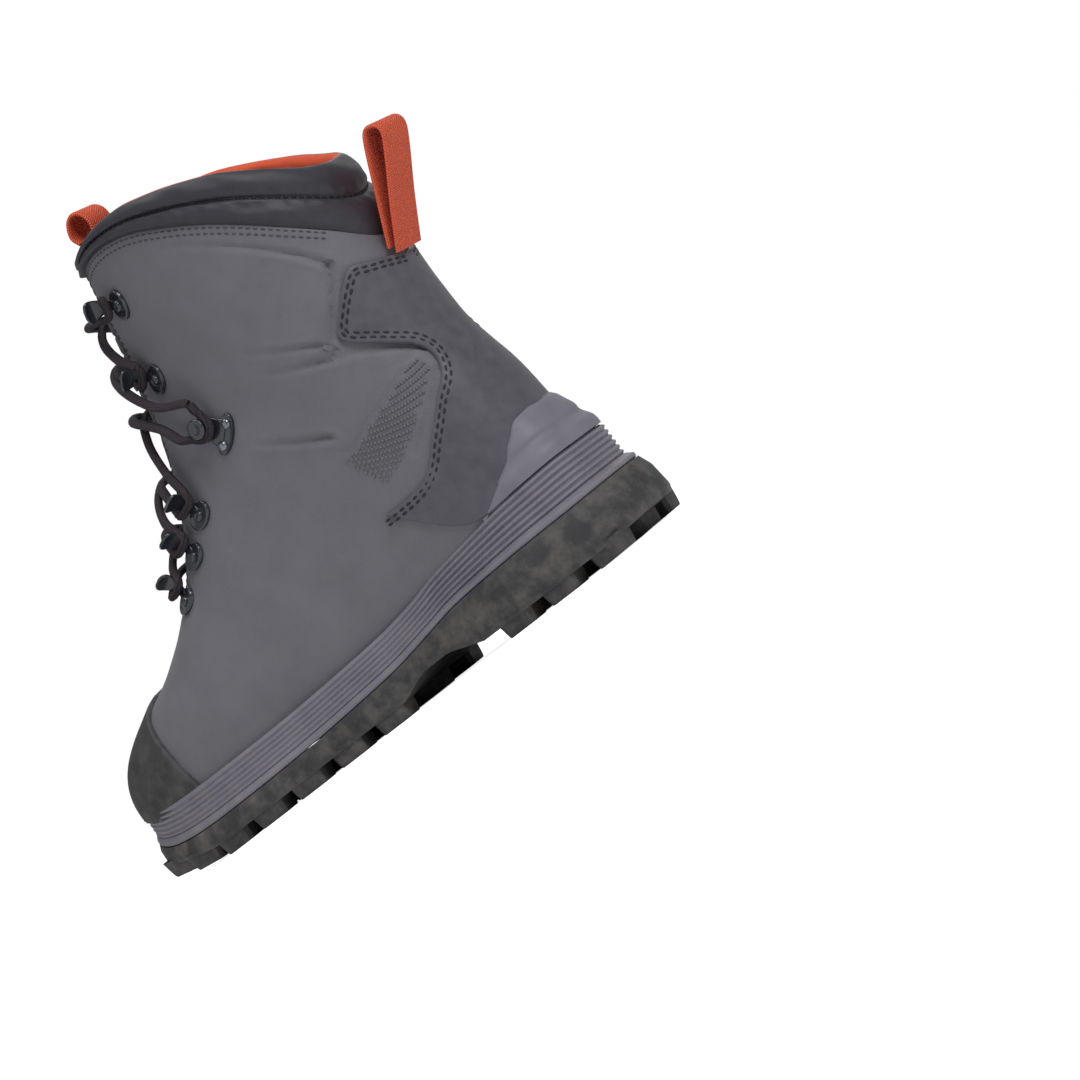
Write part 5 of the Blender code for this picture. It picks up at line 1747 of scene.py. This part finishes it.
@dataclass
class Hardware:
    """Hooks, keepers and ankle pulleys; sizes in metres."""
    form: Form
    long: float = 0.0150
    wide: float = 0.0110
    thick: float = 0.0014
    reach: float = 0.0105
    strap: float = 0.0070
    pulley_long: float = 0.0200
    pulley_wide: float = 0.0088
    drum_ahead: float = 0.0112
    drum: float = 0.0046
    lift: float = 0.0004
    sheet: float = 0.0013
    rivet_out: float = 0.0053
    # Ahead, out and width of a hook's strap, as shares of its reach and width
    STRAP = ((0.10, 0.05, 0.70), (0.35, 0.09, 0.72), (0.58, 0.15, 0.76), (0.78, 0.27, 0.90),
             (0.92, 0.48, 1.15), (1.00, 0.74, 1.42), (1.00, 0.96, 1.48), (0.97, 1.10, 1.20),
             (0.95, 1.17, 0.70))
    # Ahead, out and width of a pulley's arm
    ARM = ((0.0, 0.0013, 0.0150), (0.005, 0.0015, 0.0120), (0.010, 0.0016, 0.0096),
           (0.0152, 0.0017, 0.0050))
    # Radius share and height of a roller's rings
    ROLLER = ((0.95, 0.0014), (0.95, 0.0022), (0.66, 0.0028), (0.66, 0.0062), (0.98, 0.0068),
              (1.04, 0.0073), (1.0, 0.0079), (0.85, 0.0083), (0.55, 0.0083), (0.48, 0.0080),
              (0.0, 0.0080))

    def lathe(self, name: str, seat: Seat, long: float, wide: float,
              profile: Sequence[tuple[float, float]], finish: Finish, ahead: float = 0.0,
              up: float = 0.0, count: int = 28) -> bpy.types.Object:
        """An oval turned shape on a seat.

        Args:
            name: its name.
            seat: where it sits.
            long: its size along up.
            wide: its size along ahead.
            profile: radius share and height of each ring, from below to the middle.
            finish: its finish.
            ahead: its middle ahead of the seat.
            up: its middle above the seat.
            count: points round it.

        Returns:
            The shape.
        """
        turn = np.linspace(0, 2 * math.pi, count, endpoint=False)
        verts = [seat.at(ahead + share * wide / 2 * math.cos(a), up + share * long / 2 * math.sin(a),
                         height) for share, height in profile for a in turn]
        return make_mesh(name, np.array(verts), capped_faces(len(profile), count),
                         [finish.make()], sharp=60.0)

    def hook(self, name: str, spot: "Spot", sign: int) -> bpy.types.Object:
        """One lace hook: dished oval base, rivet, neck and upright lip.

        Args:
            name: the piece's name.
            spot: its place on the form.
            sign: 1 for the outer side, -1 for the inner side.

        Returns:
            The piece.
        """
        seat = Seat.on(self.form, spot, sign)
        top = self.lift + self.thick
        plate = self.lathe(name, seat, self.long, self.wide,
                           ((0.97, -0.0010), (1.0, top - 0.0005), (0.95, top - 0.0001), (0.86, top),
                            (0.72, top - 0.0004), (0.45, top - 0.0004), (0.0, top - 0.0004)), HARDWARE)
        rivet = self.lathe("rivet", seat, 0.0052, 0.0052,
                           ((1.0, top - 0.0006), (0.98, top + 0.0003), (0.80, top + 0.0009),
                            (0.45, top + 0.0012), (0.30, top + 0.0010), (0.0, top + 0.0009)), HARDWARE)
        steps = [(a * self.reach, self.lift + b * self.reach, w) for a, b, w in self.STRAP]
        return join(name, [plate, rivet, self.bent(seat, steps, 34, self.strap)])

    def bent(self, seat: Seat, steps: Sequence[tuple[float, float, float]], count: int,
             wide: float = 1.0) -> bpy.types.Object:
        """A bent strap of sheet metal on a seat.

        Args:
            seat: where it sits.
            steps: ahead, out and width along it.
            count: points along it.
            wide: what its widths are shares of.

        Returns:
            The strap.
        """
        dense = np.linspace(0, len(steps) - 1, count)
        path = catmull([seat.at(a, 0.0, b) for a, b, _ in steps], dense)
        widths = catmull([[w] for _, _, w in steps], dense)[:, 0] * wide
        return Sweep.strip("strap", path, np.tile(seat.up, (count, 1)), widths, self.sheet, HARDWARE)

    def pulley(self, name: str, spot: "Spot", sign: int) -> bpy.types.Object:
        """One ankle pulley: riveted plate, its arm and the roller that the lace turns round.

        Args:
            name: the piece's name.
            spot: its place on the form.
            sign: 1 for the outer side, -1 for the inner side.

        Returns:
            The piece.
        """
        seat = Seat.on(self.form, spot, sign)
        top = self.lift + self.thick
        plate = self.lathe(name, seat, self.pulley_long, self.pulley_wide,
                           ((0.98, -0.0010), (1.0, top - 0.0005), (0.95, top), (0.80, top - 0.0002),
                            (0.4, top - 0.0002), (0.0, top - 0.0002)), HARDWARE, count=36)
        parts = [plate]
        for end in (-1, 1):
            parts.append(self.lathe("rivet", seat, 0.0048, 0.0048,
                                    ((1.0, top - 0.0004), (0.98, top + 0.0004), (0.7, top + 0.0011),
                                     (0.3, top + 0.0014), (0.0, top + 0.0014)), RIVET,
                                    up=end * self.rivet_out))
        parts.append(self.bent(seat, self.ARM, 20))
        size = 2 * self.drum
        parts.append(self.lathe("roller", seat, size, size, self.ROLLER, HARDWARE,
                                ahead=self.drum_ahead, count=32))
        return join(name, parts)

    def build(self) -> list[bpy.types.Object]:
        """Build the hardware of both sides."""
        made = []
        for sign, side in ((1, "outer"), (-1, "inner")):
            for kind, spots in (("hook", HOOKS), ("lace_keeper", KEEPERS)):
                for k, spot in enumerate(spots, 1):
                    piece = self.hook(f"{kind}_metal_{side}_{k}", spot, sign)
                    made.append(settle(piece, (f"{kind}_{side}_{k}",)))
            piece = self.pulley(f"ankle_roller_{side}", PULLEY, sign)
            made.append(settle(piece, (f"ankle_pulley_{side}",)))
        return made


@dataclass
class Lace:
    """The lace through keepers, pulleys and hooks; sizes in metres."""
    form: Form
    radius: float = 0.0023
    crown: float = 0.0082
    side_lift: float = 0.0052
    over: float = 0.0016
    flat: float = 0.82
    step: float = 0.0012
    SHARES = (0.20, 0.35, 0.5, 0.65, 0.80)
    # Ahead, up and out of a hook's or roller's seat
    HOOK_TURN = ((0.0068, -0.0052, 0.0046), (0.0056, 0.0, 0.0042), (0.0068, 0.0052, 0.0046))
    ROLLER_TURN = ((0.0195, -0.0086, 0.0062), (0.0145, -0.0066, 0.0050), (0.0100, -0.0054, 0.0046),
                   (0.0068, -0.0032, 0.0045), (0.0059, 0.0, 0.0045), (0.0068, 0.0032, 0.0045),
                   (0.0100, 0.0054, 0.0046), (0.0145, 0.0070, 0.0052), (0.0195, 0.0092, 0.0064))

    def crossing(self, low: "Spot", high: "Spot", sign: int, lift: float) -> list[Array]:
        """Points from one side's spot over the tongue to the other side's next spot.

        Args:
            low: the lower spot.
            high: the next spot.
            sign: side that it starts from, 1 for the outer side.
            lift: extra height over the tongue.

        Returns:
            World points.
        """
        points = []
        for share in self.SHARES:
            row = low.row + (high.row - low.row) * share
            reach = (1 - low.side) + (low.side - high.side) * share
            across = sign * (1 - 2 * share)
            side = math.copysign(1 - abs(across) * reach, across)
            rise = self.side_lift + (self.crown + lift - self.side_lift) * (1 - across ** 2)
            points.append(self.form.at(row, side, rise))
        return points

    def build(self) -> bpy.types.Object:
        """Build both halves and the bar as one piece."""
        spots = list(KEEPERS) + [PULLEY] + list(HOOKS)
        parts = []
        for sign in (1, -1):
            points = []
            for k, spot in enumerate(spots):
                seat = Seat.on(self.form, spot, sign)
                if k == 0:
                    points += [self.form.at(spot.row - 0.012, sign * s, self.side_lift)
                               for s in (0.999, 0.93, 0.86)]
                turn = self.ROLLER_TURN if spot is PULLEY else self.HOOK_TURN
                points += [seat.at(*place) for place in turn]
                if k < len(spots) - 1:
                    lift = self.over * sign * (1 if k % 2 else -1)
                    points += self.crossing(spot, spots[k + 1], sign, lift)
                    sign = -sign
            path = catmull(points, np.linspace(0, len(points) - 1, 500))
            parts.append(Sweep.tube("lace_half", resample(path, self.step), self.radius, LACE,
                                    self.flat))
        lace = join("lace_run", parts)
        nodes = ["lace_bar"] + [f"lace_cross_{k}" for k in range(1, 6)]
        return settle(lace, nodes)


class Outlines:
    """The sole's outline and the walls that are built on it."""

    def __init__(self, steps: int = 16) -> None:
        """Lay out the ring, toe tip first and the outer side next.

        Args:
            steps: points between two places of the outline.
        """
        outer = [(length_at(row.along), BALL * row.outer / 100) for row in SOLE_OUTLINE]
        inner = [(length_at(row.along), BALL * row.inner / 100) for row in SOLE_OUTLINE]
        toe = [(length_at(100.0), BALL * SOLE_TOE_SIDE / 100)]
        heel = [(length_at(0.0), 0.0)]
        ring = np.array(toe + outer + heel + inner[::-1])
        self.ring = catmull(ring, np.arange(len(ring) * steps) / steps, closed=True)
        along = unit(np.roll(self.ring, -1, axis=0) - np.roll(self.ring, 1, axis=0))
        self.inward = np.column_stack((-along[:, 1], along[:, 0]))
        share = (self.ring[:, 0] - length_at(HEEL_FADE[0]))
        share = share / (length_at(HEEL_FADE[1]) - length_at(HEEL_FADE[0]))
        self.fore = smooth_share(share)

    def inset(self, distance: Array) -> Array:
        """The ring moved inwards."""
        return self.ring + self.inward * np.broadcast_to(distance, len(self.ring))[:, None]

    def wall(self, heel: float, fore: float) -> Array:
        """Inset of a wall step, in percent of BALL at the heel and forward."""
        return BALL / 100 * (heel + (fore - heel) * self.fore)


def wall_table(sides: Sequence["Side"], share: Array) -> tuple[Array, Array]:
    """Heel and fore insets of a wall, read smoothly at height shares."""
    table = np.array(sides, float)
    return np.interp(share, table[:, 0], table[:, 1]), np.interp(share, table[:, 0], table[:, 2])


@dataclass
class Sole:
    """Midsole, heel cup, outsole and insole; sizes in metres."""
    form: Form
    outlines: Outlines
    rib_depth: float = 0.0012
    ribs: int = 6
    cup_lift: float = 0.0245
    lug_depth: float = 0.0065
    lug_width: float = 0.0150
    lug_length: float = 0.0190
    insole_thick: float = 0.0040
    insole_inset: float = 0.0085
    insole_dish: float = 0.0022
    insole_sink: float = 0.0006
    levels: int = 72
    cup_levels: int = 40
    slab_levels: int = 16
    ribs_from: float = 0.20
    ribs_span: float = 0.78
    edge_round: float = 0.0006
    cup_round: float = 0.0009
    lug_inset: float = 0.0022
    lug_skew: float = 0.16
    lug_inner: float = 0.80
    probe_back: float = 0.02
    probe_reach: float = 0.08
    LUG_RINGS = ((1.0, 0.0085), (0.93, 0.0032), (0.88, 0.0006), (0.84, 0.0))
    LUG_BLOCK = ((-1, -0.75), (-0.8, -1), (0.8, -1), (1, -0.75), (1, 0.75), (0.8, 1), (-0.8, 1),
                 (-1, 0.75))

    def __post_init__(self) -> None:
        """Read the height curves and set up the form for probing."""
        self.bed, self.rim = level("bed"), level("rim")
        self.parting, self.tread = level("parting"), level("tread")
        grid = self.form.points[::3, ::4]
        flat = [Vector(map(float, p)) for p in grid.reshape(-1, 3)]
        self.probe = BVHTree.FromPolygons(flat, grid_faces(*grid.shape[:2]))

    def to_form(self, ring: Array, ways: Array, missed: float, deeper: float) -> Array:
        """Where a ring's points meet the form when they move inwards.

        Args:
            ring: points.
            ways: their directions inwards, in X and Y.
            missed: how far they go where the form isn't met.
            deeper: how far they go under the form's surface.

        Returns:
            World points.
        """
        out = []
        for (x, y, z), way in zip(ring, ways):
            start = Vector((x - self.probe_back * way[0], y - self.probe_back * way[1], z))
            hit = self.probe.ray_cast(start, Vector((*way, 0.0)), self.probe_reach)[0]
            spot = (x + missed * way[0], y + missed * way[1]) if hit is None else hit[:2]
            out.append((spot[0] + deeper * way[0], spot[1] + deeper * way[1], z))
        return np.array(out)

    def build(self) -> list[bpy.types.Object]:
        """Build every piece of the sole."""
        return [self.midsole(), self.heel_cup(), self.outsole(), self.insole()]

    def midsole(self) -> bpy.types.Object:
        """The grey cup with its lip, ribs and rolled rim."""
        ring = self.outlines.ring
        x = ring[:, 0]
        low, high = self.parting(x) + GAP / 2, self.rim(x)
        rings = []
        for share in np.linspace(0, 1, self.levels):
            heel, fore = wall_table(MIDSOLE_WALL, share)
            edge = self.edge_round * (math.exp(-(share / 0.02) ** 2)
                                      + math.exp(-((share - 1) / 0.03) ** 2))
            flat = self.outlines.inset(self.outlines.wall(heel, fore) + self.rib(share) + edge)
            rings.append(np.column_stack((flat, low + (high - low) * share)))
        top = rings[-1]
        seat = self.to_form(top, self.outlines.inward, 0.012, 0.0006)
        for share, drop in ((0.15, -0.0002), (0.5, -0.0005), (1.0, -0.0010)):
            mid = top + (seat - top) * share
            rings.append(mid + np.array([0.0, 0.0, drop]))
        verts = np.concatenate(rings)
        faces = grid_faces(len(rings), len(ring), closed=True)
        faces.append(tuple(range(len(ring))))
        thing = make_mesh("midsole_cup", verts, faces, [CUP_RUBBER.make()], sharp=50.0)
        return settle(thing, ("midsole",))

    def rib(self, share: float) -> Array | float:
        """Inset that the ribs give the midsole's wall.

        Args:
            share: the place up the wall.

        Returns:
            An inset for each place round the sole, in metres.
        """
        if share <= self.ribs_from:
            return 0.0
        place = np.clip((share - self.ribs_from) / self.ribs_span, 0, 1)
        rib = 0.5 - 0.5 * math.cos(2 * math.pi * self.ribs * place)
        depth = self.rib_depth * (1 - 0.45 * self.outlines.fore) * (rib ** 0.7)
        return self.rib_depth * 0.8 - depth

    def heel_cup(self) -> bpy.types.Object:
        """The grey rubber round the heel, in two soft rolls."""
        ring = self.outlines.ring
        places = np.array([(length_at(p.along), height_at(p.up)) for p in CUP_EDGE])
        keep = np.nonzero(ring[:, 0] < places[-1, 0])[0]
        span = ring[keep]
        x = span[:, 0]
        low = self.rim(x) + GAP
        high = np.interp(x, places[:, 0], places[:, 1])
        table = np.array(CUP_WALL, float)
        rings = []
        for share in np.linspace(0, 1, self.cup_levels):
            z = low + (high - low) * share
            part = np.clip((z - low) / self.cup_lift, 0, 1)
            inset = catmull(table, np.interp(part, table[:, 0], np.arange(len(table))))[:, 1]
            inset = BALL / 100 * inset + self.cup_round * math.exp(-((share - 1) / 0.05) ** 2)
            flat = span + self.outlines.inward[keep] * inset[:, None]
            rings.append(np.column_stack((flat, z)))
        top = rings[-1]
        seat = self.to_form(top, self.outlines.inward[keep], 0.004, 0.001)
        seat[:, 2] -= 0.0006
        rings += [top + (seat - top) * 0.3, seat]
        clip = self.off_form(np.concatenate(rings))
        verts = clip.reshape(len(rings), len(keep), 3)
        thing = make_mesh("heel_cup_rubber", verts.reshape(-1, 3), grid_faces(len(rings), len(keep)),
                          [CUP_RUBBER.make()], sharp=50.0)
        return settle(thing, ("heel_cup",))

    def off_form(self, verts: Array, least: float = 0.0022) -> Array:
        """Keep the cup's outer wall proud of the counter under it.

        Args:
            verts: the cup's points.
            least: least distance from the form, in metres.

        Returns:
            The points, moved out where they lay too near.
        """
        out = verts.copy()
        for k, place in enumerate(verts[:-1]):
            spot, normal, _, _ = self.probe.find_nearest(Vector(map(float, place)), 0.02)
            if spot is None:
                continue
            outward = normal if normal.dot(Vector((place[0] - 0.01, place[1], 0.0))) > 0 else -normal
            away = (Vector(map(float, place)) - spot).dot(outward)
            if 0.0 < away < least:
                out[k] = np.array(spot + outward * least)
        return out

    def outsole(self) -> bpy.types.Object:
        """The black slab with its bevelled lugs."""
        ring = self.outlines.ring
        x = ring[:, 0]
        low, high = self.tread(x) + self.lug_depth, self.parting(x) - GAP / 2
        rings = []
        for share in np.linspace(0, 1, self.slab_levels):
            heel, fore = wall_table(OUTSOLE_WALL, share)
            flat = self.outlines.inset(self.outlines.wall(heel, fore))
            rings.append(np.column_stack((flat, low + (high - low) * share)))
        verts = np.concatenate(rings)
        faces = grid_faces(len(rings), len(ring), closed=True)
        last = (len(rings) - 1) * len(ring)
        faces += self.ladder(0, len(ring)) + self.ladder(last, len(ring))
        slab = make_mesh("outsole_tread", verts, faces, [BLACK_RUBBER.make()], sharp=50.0)
        thing = join("outsole_tread", [slab, self.lugs()])
        return settle(thing, ("outsole",))

    @staticmethod
    def ladder(start: int, count: int) -> list:
        """Faces across a ring whose halves mirror each other in number.

        Args:
            start: number of the ring's first point.
            count: points in the ring.

        Returns:
            Tuples of point numbers.
        """
        half = count // 2
        faces = [(start, start + 1, start + count - 1)]
        faces += [(start + i, start + i + 1, start + count - i - 1, start + count - i)
                  for i in range(1, half - 1)]
        faces.append((start + half - 1, start + half, start + half + 1))
        return faces

    def edge_at(self, x: float, outer: bool) -> float:
        """The sole's edge across at a place along.

        Args:
            x: world X.
            outer: whether the outer edge is wanted.

        Returns:
            World Y.
        """
        half = len(self.outlines.ring) // 2
        ring = self.outlines.ring
        side = ring[:half + 1] if outer else np.roll(ring, -half, axis=0)[:half + 1]
        order = np.argsort(side[:, 0])
        return float(np.interp(x, side[order, 0], side[order, 1]))

    def lugs(self) -> bpy.types.Object:
        """All lugs as one mesh of stepped, tapered blocks."""
        verts, faces = [], []
        for row in LUG_ROWS:
            middle = length_at(row.along)
            outer, inner = self.edge_at(middle, True), self.edge_at(middle, False)
            inset = self.lug_inset + self.lug_width / 2
            for k, across in enumerate(np.linspace(inner + inset, outer - inset, row.count)):
                edge = k in (0, row.count - 1)
                skew = 0.0 if edge else self.lug_skew * self.lug_length * (1 if k % 2 else -1)
                wide = self.lug_width * (1.0 if edge else self.lug_inner)
                base = len(verts)
                for share, height in self.LUG_RINGS:
                    for a, b in self.LUG_BLOCK:
                        x = middle + a * share * self.lug_length / 2 + b * skew
                        y = across + b * share * wide / 2
                        verts.append((x, y, float(self.tread(x)) + height))
                count = len(self.LUG_BLOCK)
                faces += grid_faces(len(self.LUG_RINGS), count, base, closed=True)
                faces.append(tuple(range(len(verts) - count, len(verts))))
        return make_mesh("lugs", np.array(verts), faces, [BLACK_RUBBER.make()], sharp=30.0)

    def insole(self) -> bpy.types.Object:
        """The soft insole on the bed, dished at the heel."""
        ring = self.outlines.inset(self.insole_inset)
        half = len(ring) // 2
        across = np.linspace(0, 1, 25)
        rows = []
        for i in range(1, half):
            a, b = ring[i], ring[len(ring) - i]
            line = a + (b - a) * across[:, None]
            z = self.bed(line[:, 0]) + GAP + self.insole_thick
            dish = (2 * across - 1) ** 6 * self.insole_dish
            rows.append(np.column_stack((line, z + dish - self.insole_sink)))
        grid = np.array(rows)
        verts = grid.reshape(-1, 3)
        under = verts - np.array([0.0, 0.0, self.insole_thick])
        n, m = grid.shape[:2]
        faces = grid_faces(n, m) + [f[::-1] for f in grid_faces(n, m, n * m)]
        rim = [i * m for i in range(n)] + [(n - 1) * m + j for j in range(1, m)]
        rim += [i * m + m - 1 for i in range(n - 2, -1, -1)] + list(range(m - 2, 0, -1))
        for a, b in zip(rim, rim[1:] + rim[:1]):
            faces.append((a, b, b + n * m, a + n * m))
        thing = make_mesh("insole_board", np.vstack((verts, under)), faces, [BOARD.make()],
                          sharp=60.0)
        return settle(thing, ("insole",))


@dataclass
class ToeCap:
    """The rubber cap over the toe; sizes in metres."""
    form: Form
    rise: float = 0.0022
    rows: int = 60
    around: int = 80

    def build(self) -> bpy.types.Object:
        """Build the cap from the toe tip to its back edge."""
        edge = np.array([(height_at(p.up), length_at(p.along)) for p in TOE_EDGE])[::-1]
        rim = level("rim")
        across = np.linspace(-1, 1, 2 * self.around + 1)
        rows = np.linspace(0, 0.5, 300)
        back = []
        for side in across:
            line = self.form.at(rows, side)
            behind = line[:, 0] < np.interp(line[:, 2], edge[:, 0], edge[:, 1])
            back.append(rows[np.argmax(behind)])
        share = np.concatenate((np.linspace(0, 0.97, self.rows), [0.985, 0.995, 1.0, 1.0]))
        place = share[:, None] * np.array(back)[None, :]
        lift = np.full(place.shape, GAP + self.rise)
        lift[-4:] = (GAP + np.array([0.95, 0.80, 0.50, -0.2]) * self.rise)[:, None]
        points = self.form.at(place, np.broadcast_to(across, place.shape), lift)
        flat = points.reshape(-1, 3)
        deep = flat[:, 2] < rim(flat[:, 0]) - 0.004
        faces = [face[::-1] for face in grid_faces(*place.shape) if not all(deep[k] for k in face)]
        tip = len(flat)
        middle = points[0].mean(axis=0) + np.array([0.0012, 0.0, 0.0])
        faces += [(tip, k, k + 1) for k in range(place.shape[1] - 1)]
        thing = make_mesh("toe_cap_rubber", np.vstack((flat, middle[None])), faces,
                          [BLACK_RUBBER.make()], weld=WELD, sharp=50.0)
        return settle(thing, ("toe_cap",))


@dataclass
class Studio:
    """Floor, lights and the camera at the photograph's angle; metres and degrees."""
    azimuth: float = 208.0
    roll: float = 38.0
    distance: float = 1.55
    near_side: float = 0.040
    frame_width: float = 0.458
    middle_side: float = -0.013
    middle_height: float = 0.026
    sky: float = 0.26
    floor_glow: float = 0.86

    def build(self) -> None:
        """Build floor, lights and camera."""
        self.camera()
        self.floor()
        self.light("key", (-1.10, 0.65, 1.15), 0.8, 13.0)
        self.light("fill", (0.75, 1.10, 0.45), 1.4, 2.6)
        self.light("top", (0.05, 0.10, 1.50), 0.8, 6.5)
        self.light("back", (0.3, -1.2, 0.9), 1.2, 4.5)
        bpy.context.scene.view_settings.view_transform = "Standard"
        world = bpy.data.worlds.new("studio")
        world.use_nodes = True
        shade = Shading(world.node_tree)
        seen = shade.add("ShaderNodeLightPath").outputs["Is Camera Ray"]
        shade.feed(world.node_tree.nodes["Background"],
                   {"Color": (1.0, 1.0, 1.0, 1.0),
                    "Strength": shade.spread(seen, 0.0, 1.0, self.sky, 1.0)})
        bpy.context.scene.world = world

    def camera(self) -> None:
        """Set up the rolled camera, level with the sole."""
        turn = math.radians(self.azimuth)
        back = Vector((math.sin(turn), -math.cos(turn), 0.0))
        right = (-back).cross(Vector((0.0, 0.0, 1.0))).normalized()
        target = right * self.middle_side + Vector((0.0, 0.0, self.middle_height))
        lean = math.radians(self.roll)
        up = Vector((0.0, 0.0, 1.0))
        cam_right = math.cos(lean) * right - math.sin(lean) * up
        cam_up = math.sin(lean) * right + math.cos(lean) * up
        data = bpy.data.cameras.new("camera")
        data.sensor_width = 36.0
        data.lens = 36.0 * self.distance / self.frame_width
        thing = bpy.data.objects.new("camera", data)
        bpy.context.scene.collection.objects.link(thing)
        place = target + back * (self.distance + self.near_side)
        turned = Matrix((cam_right, cam_up, back)).transposed().to_4x4()
        thing.matrix_world = Matrix.Translation(place) @ turned
        bpy.context.scene.camera = thing

    def floor(self) -> None:
        """A pale floor all round the boot."""
        half = 6.0
        verts = [(x, y, 0.0) for y in (-half, half) for x in (-half, half)]
        material = bpy.data.materials.new("floor_white")
        material.use_nodes = True
        shade = Shading(material.node_tree)
        seen = shade.add("ShaderNodeLightPath").outputs["Is Camera Ray"]
        glow = shade.spread(seen, 0.0, 1.0, 0.0, self.floor_glow)
        shade.feed(material.node_tree.nodes["Principled BSDF"],
                   {"Base Color": (0.90, 0.90, 0.90, 1.0), "Roughness": 0.9,
                    "Emission Color": (1.0, 1.0, 1.0, 1.0), "Emission Strength": glow})
        thing = make_mesh("floor", np.array(verts), grid_faces(2, 2), [material])

    def light(self, name: str, place: tuple[float, float, float], size: float, power: float) -> None:
        """Add one soft light that faces the boot.

        Args:
            name: its name.
            place: where it stands.
            size: its width.
            power: its power in watts.
        """
        data = bpy.data.lights.new(name, "AREA")
        data.shape = "DISK"
        data.size = size
        data.energy = power
        thing = bpy.data.objects.new(name, data)
        bpy.context.scene.collection.objects.link(thing)
        thing.location = place
        way = Vector(place) - Vector((0.05, 0.0, 0.12))
        thing.rotation_euler = way.to_track_quat("Z", "Y").to_euler()


def main() -> None:
    """Build and dress the boot."""
    logging.basicConfig(level=logging.INFO, format="%(name)s %(message)s")
    Studio().build()
    form = Form()
    shell = Shell(form)
    Upper(form, shell).build()
    Counter(form).build()
    Seams(form, shell).build()
    Collar(form, shell).build()
    Tongue(form, shell).build()
    Loops().build()
    Hardware(form).build()
    Lace(form).build()
    Sole(form, Outlines()).build()
    ToeCap(form).build()


if __name__ == "__main__":
    main()
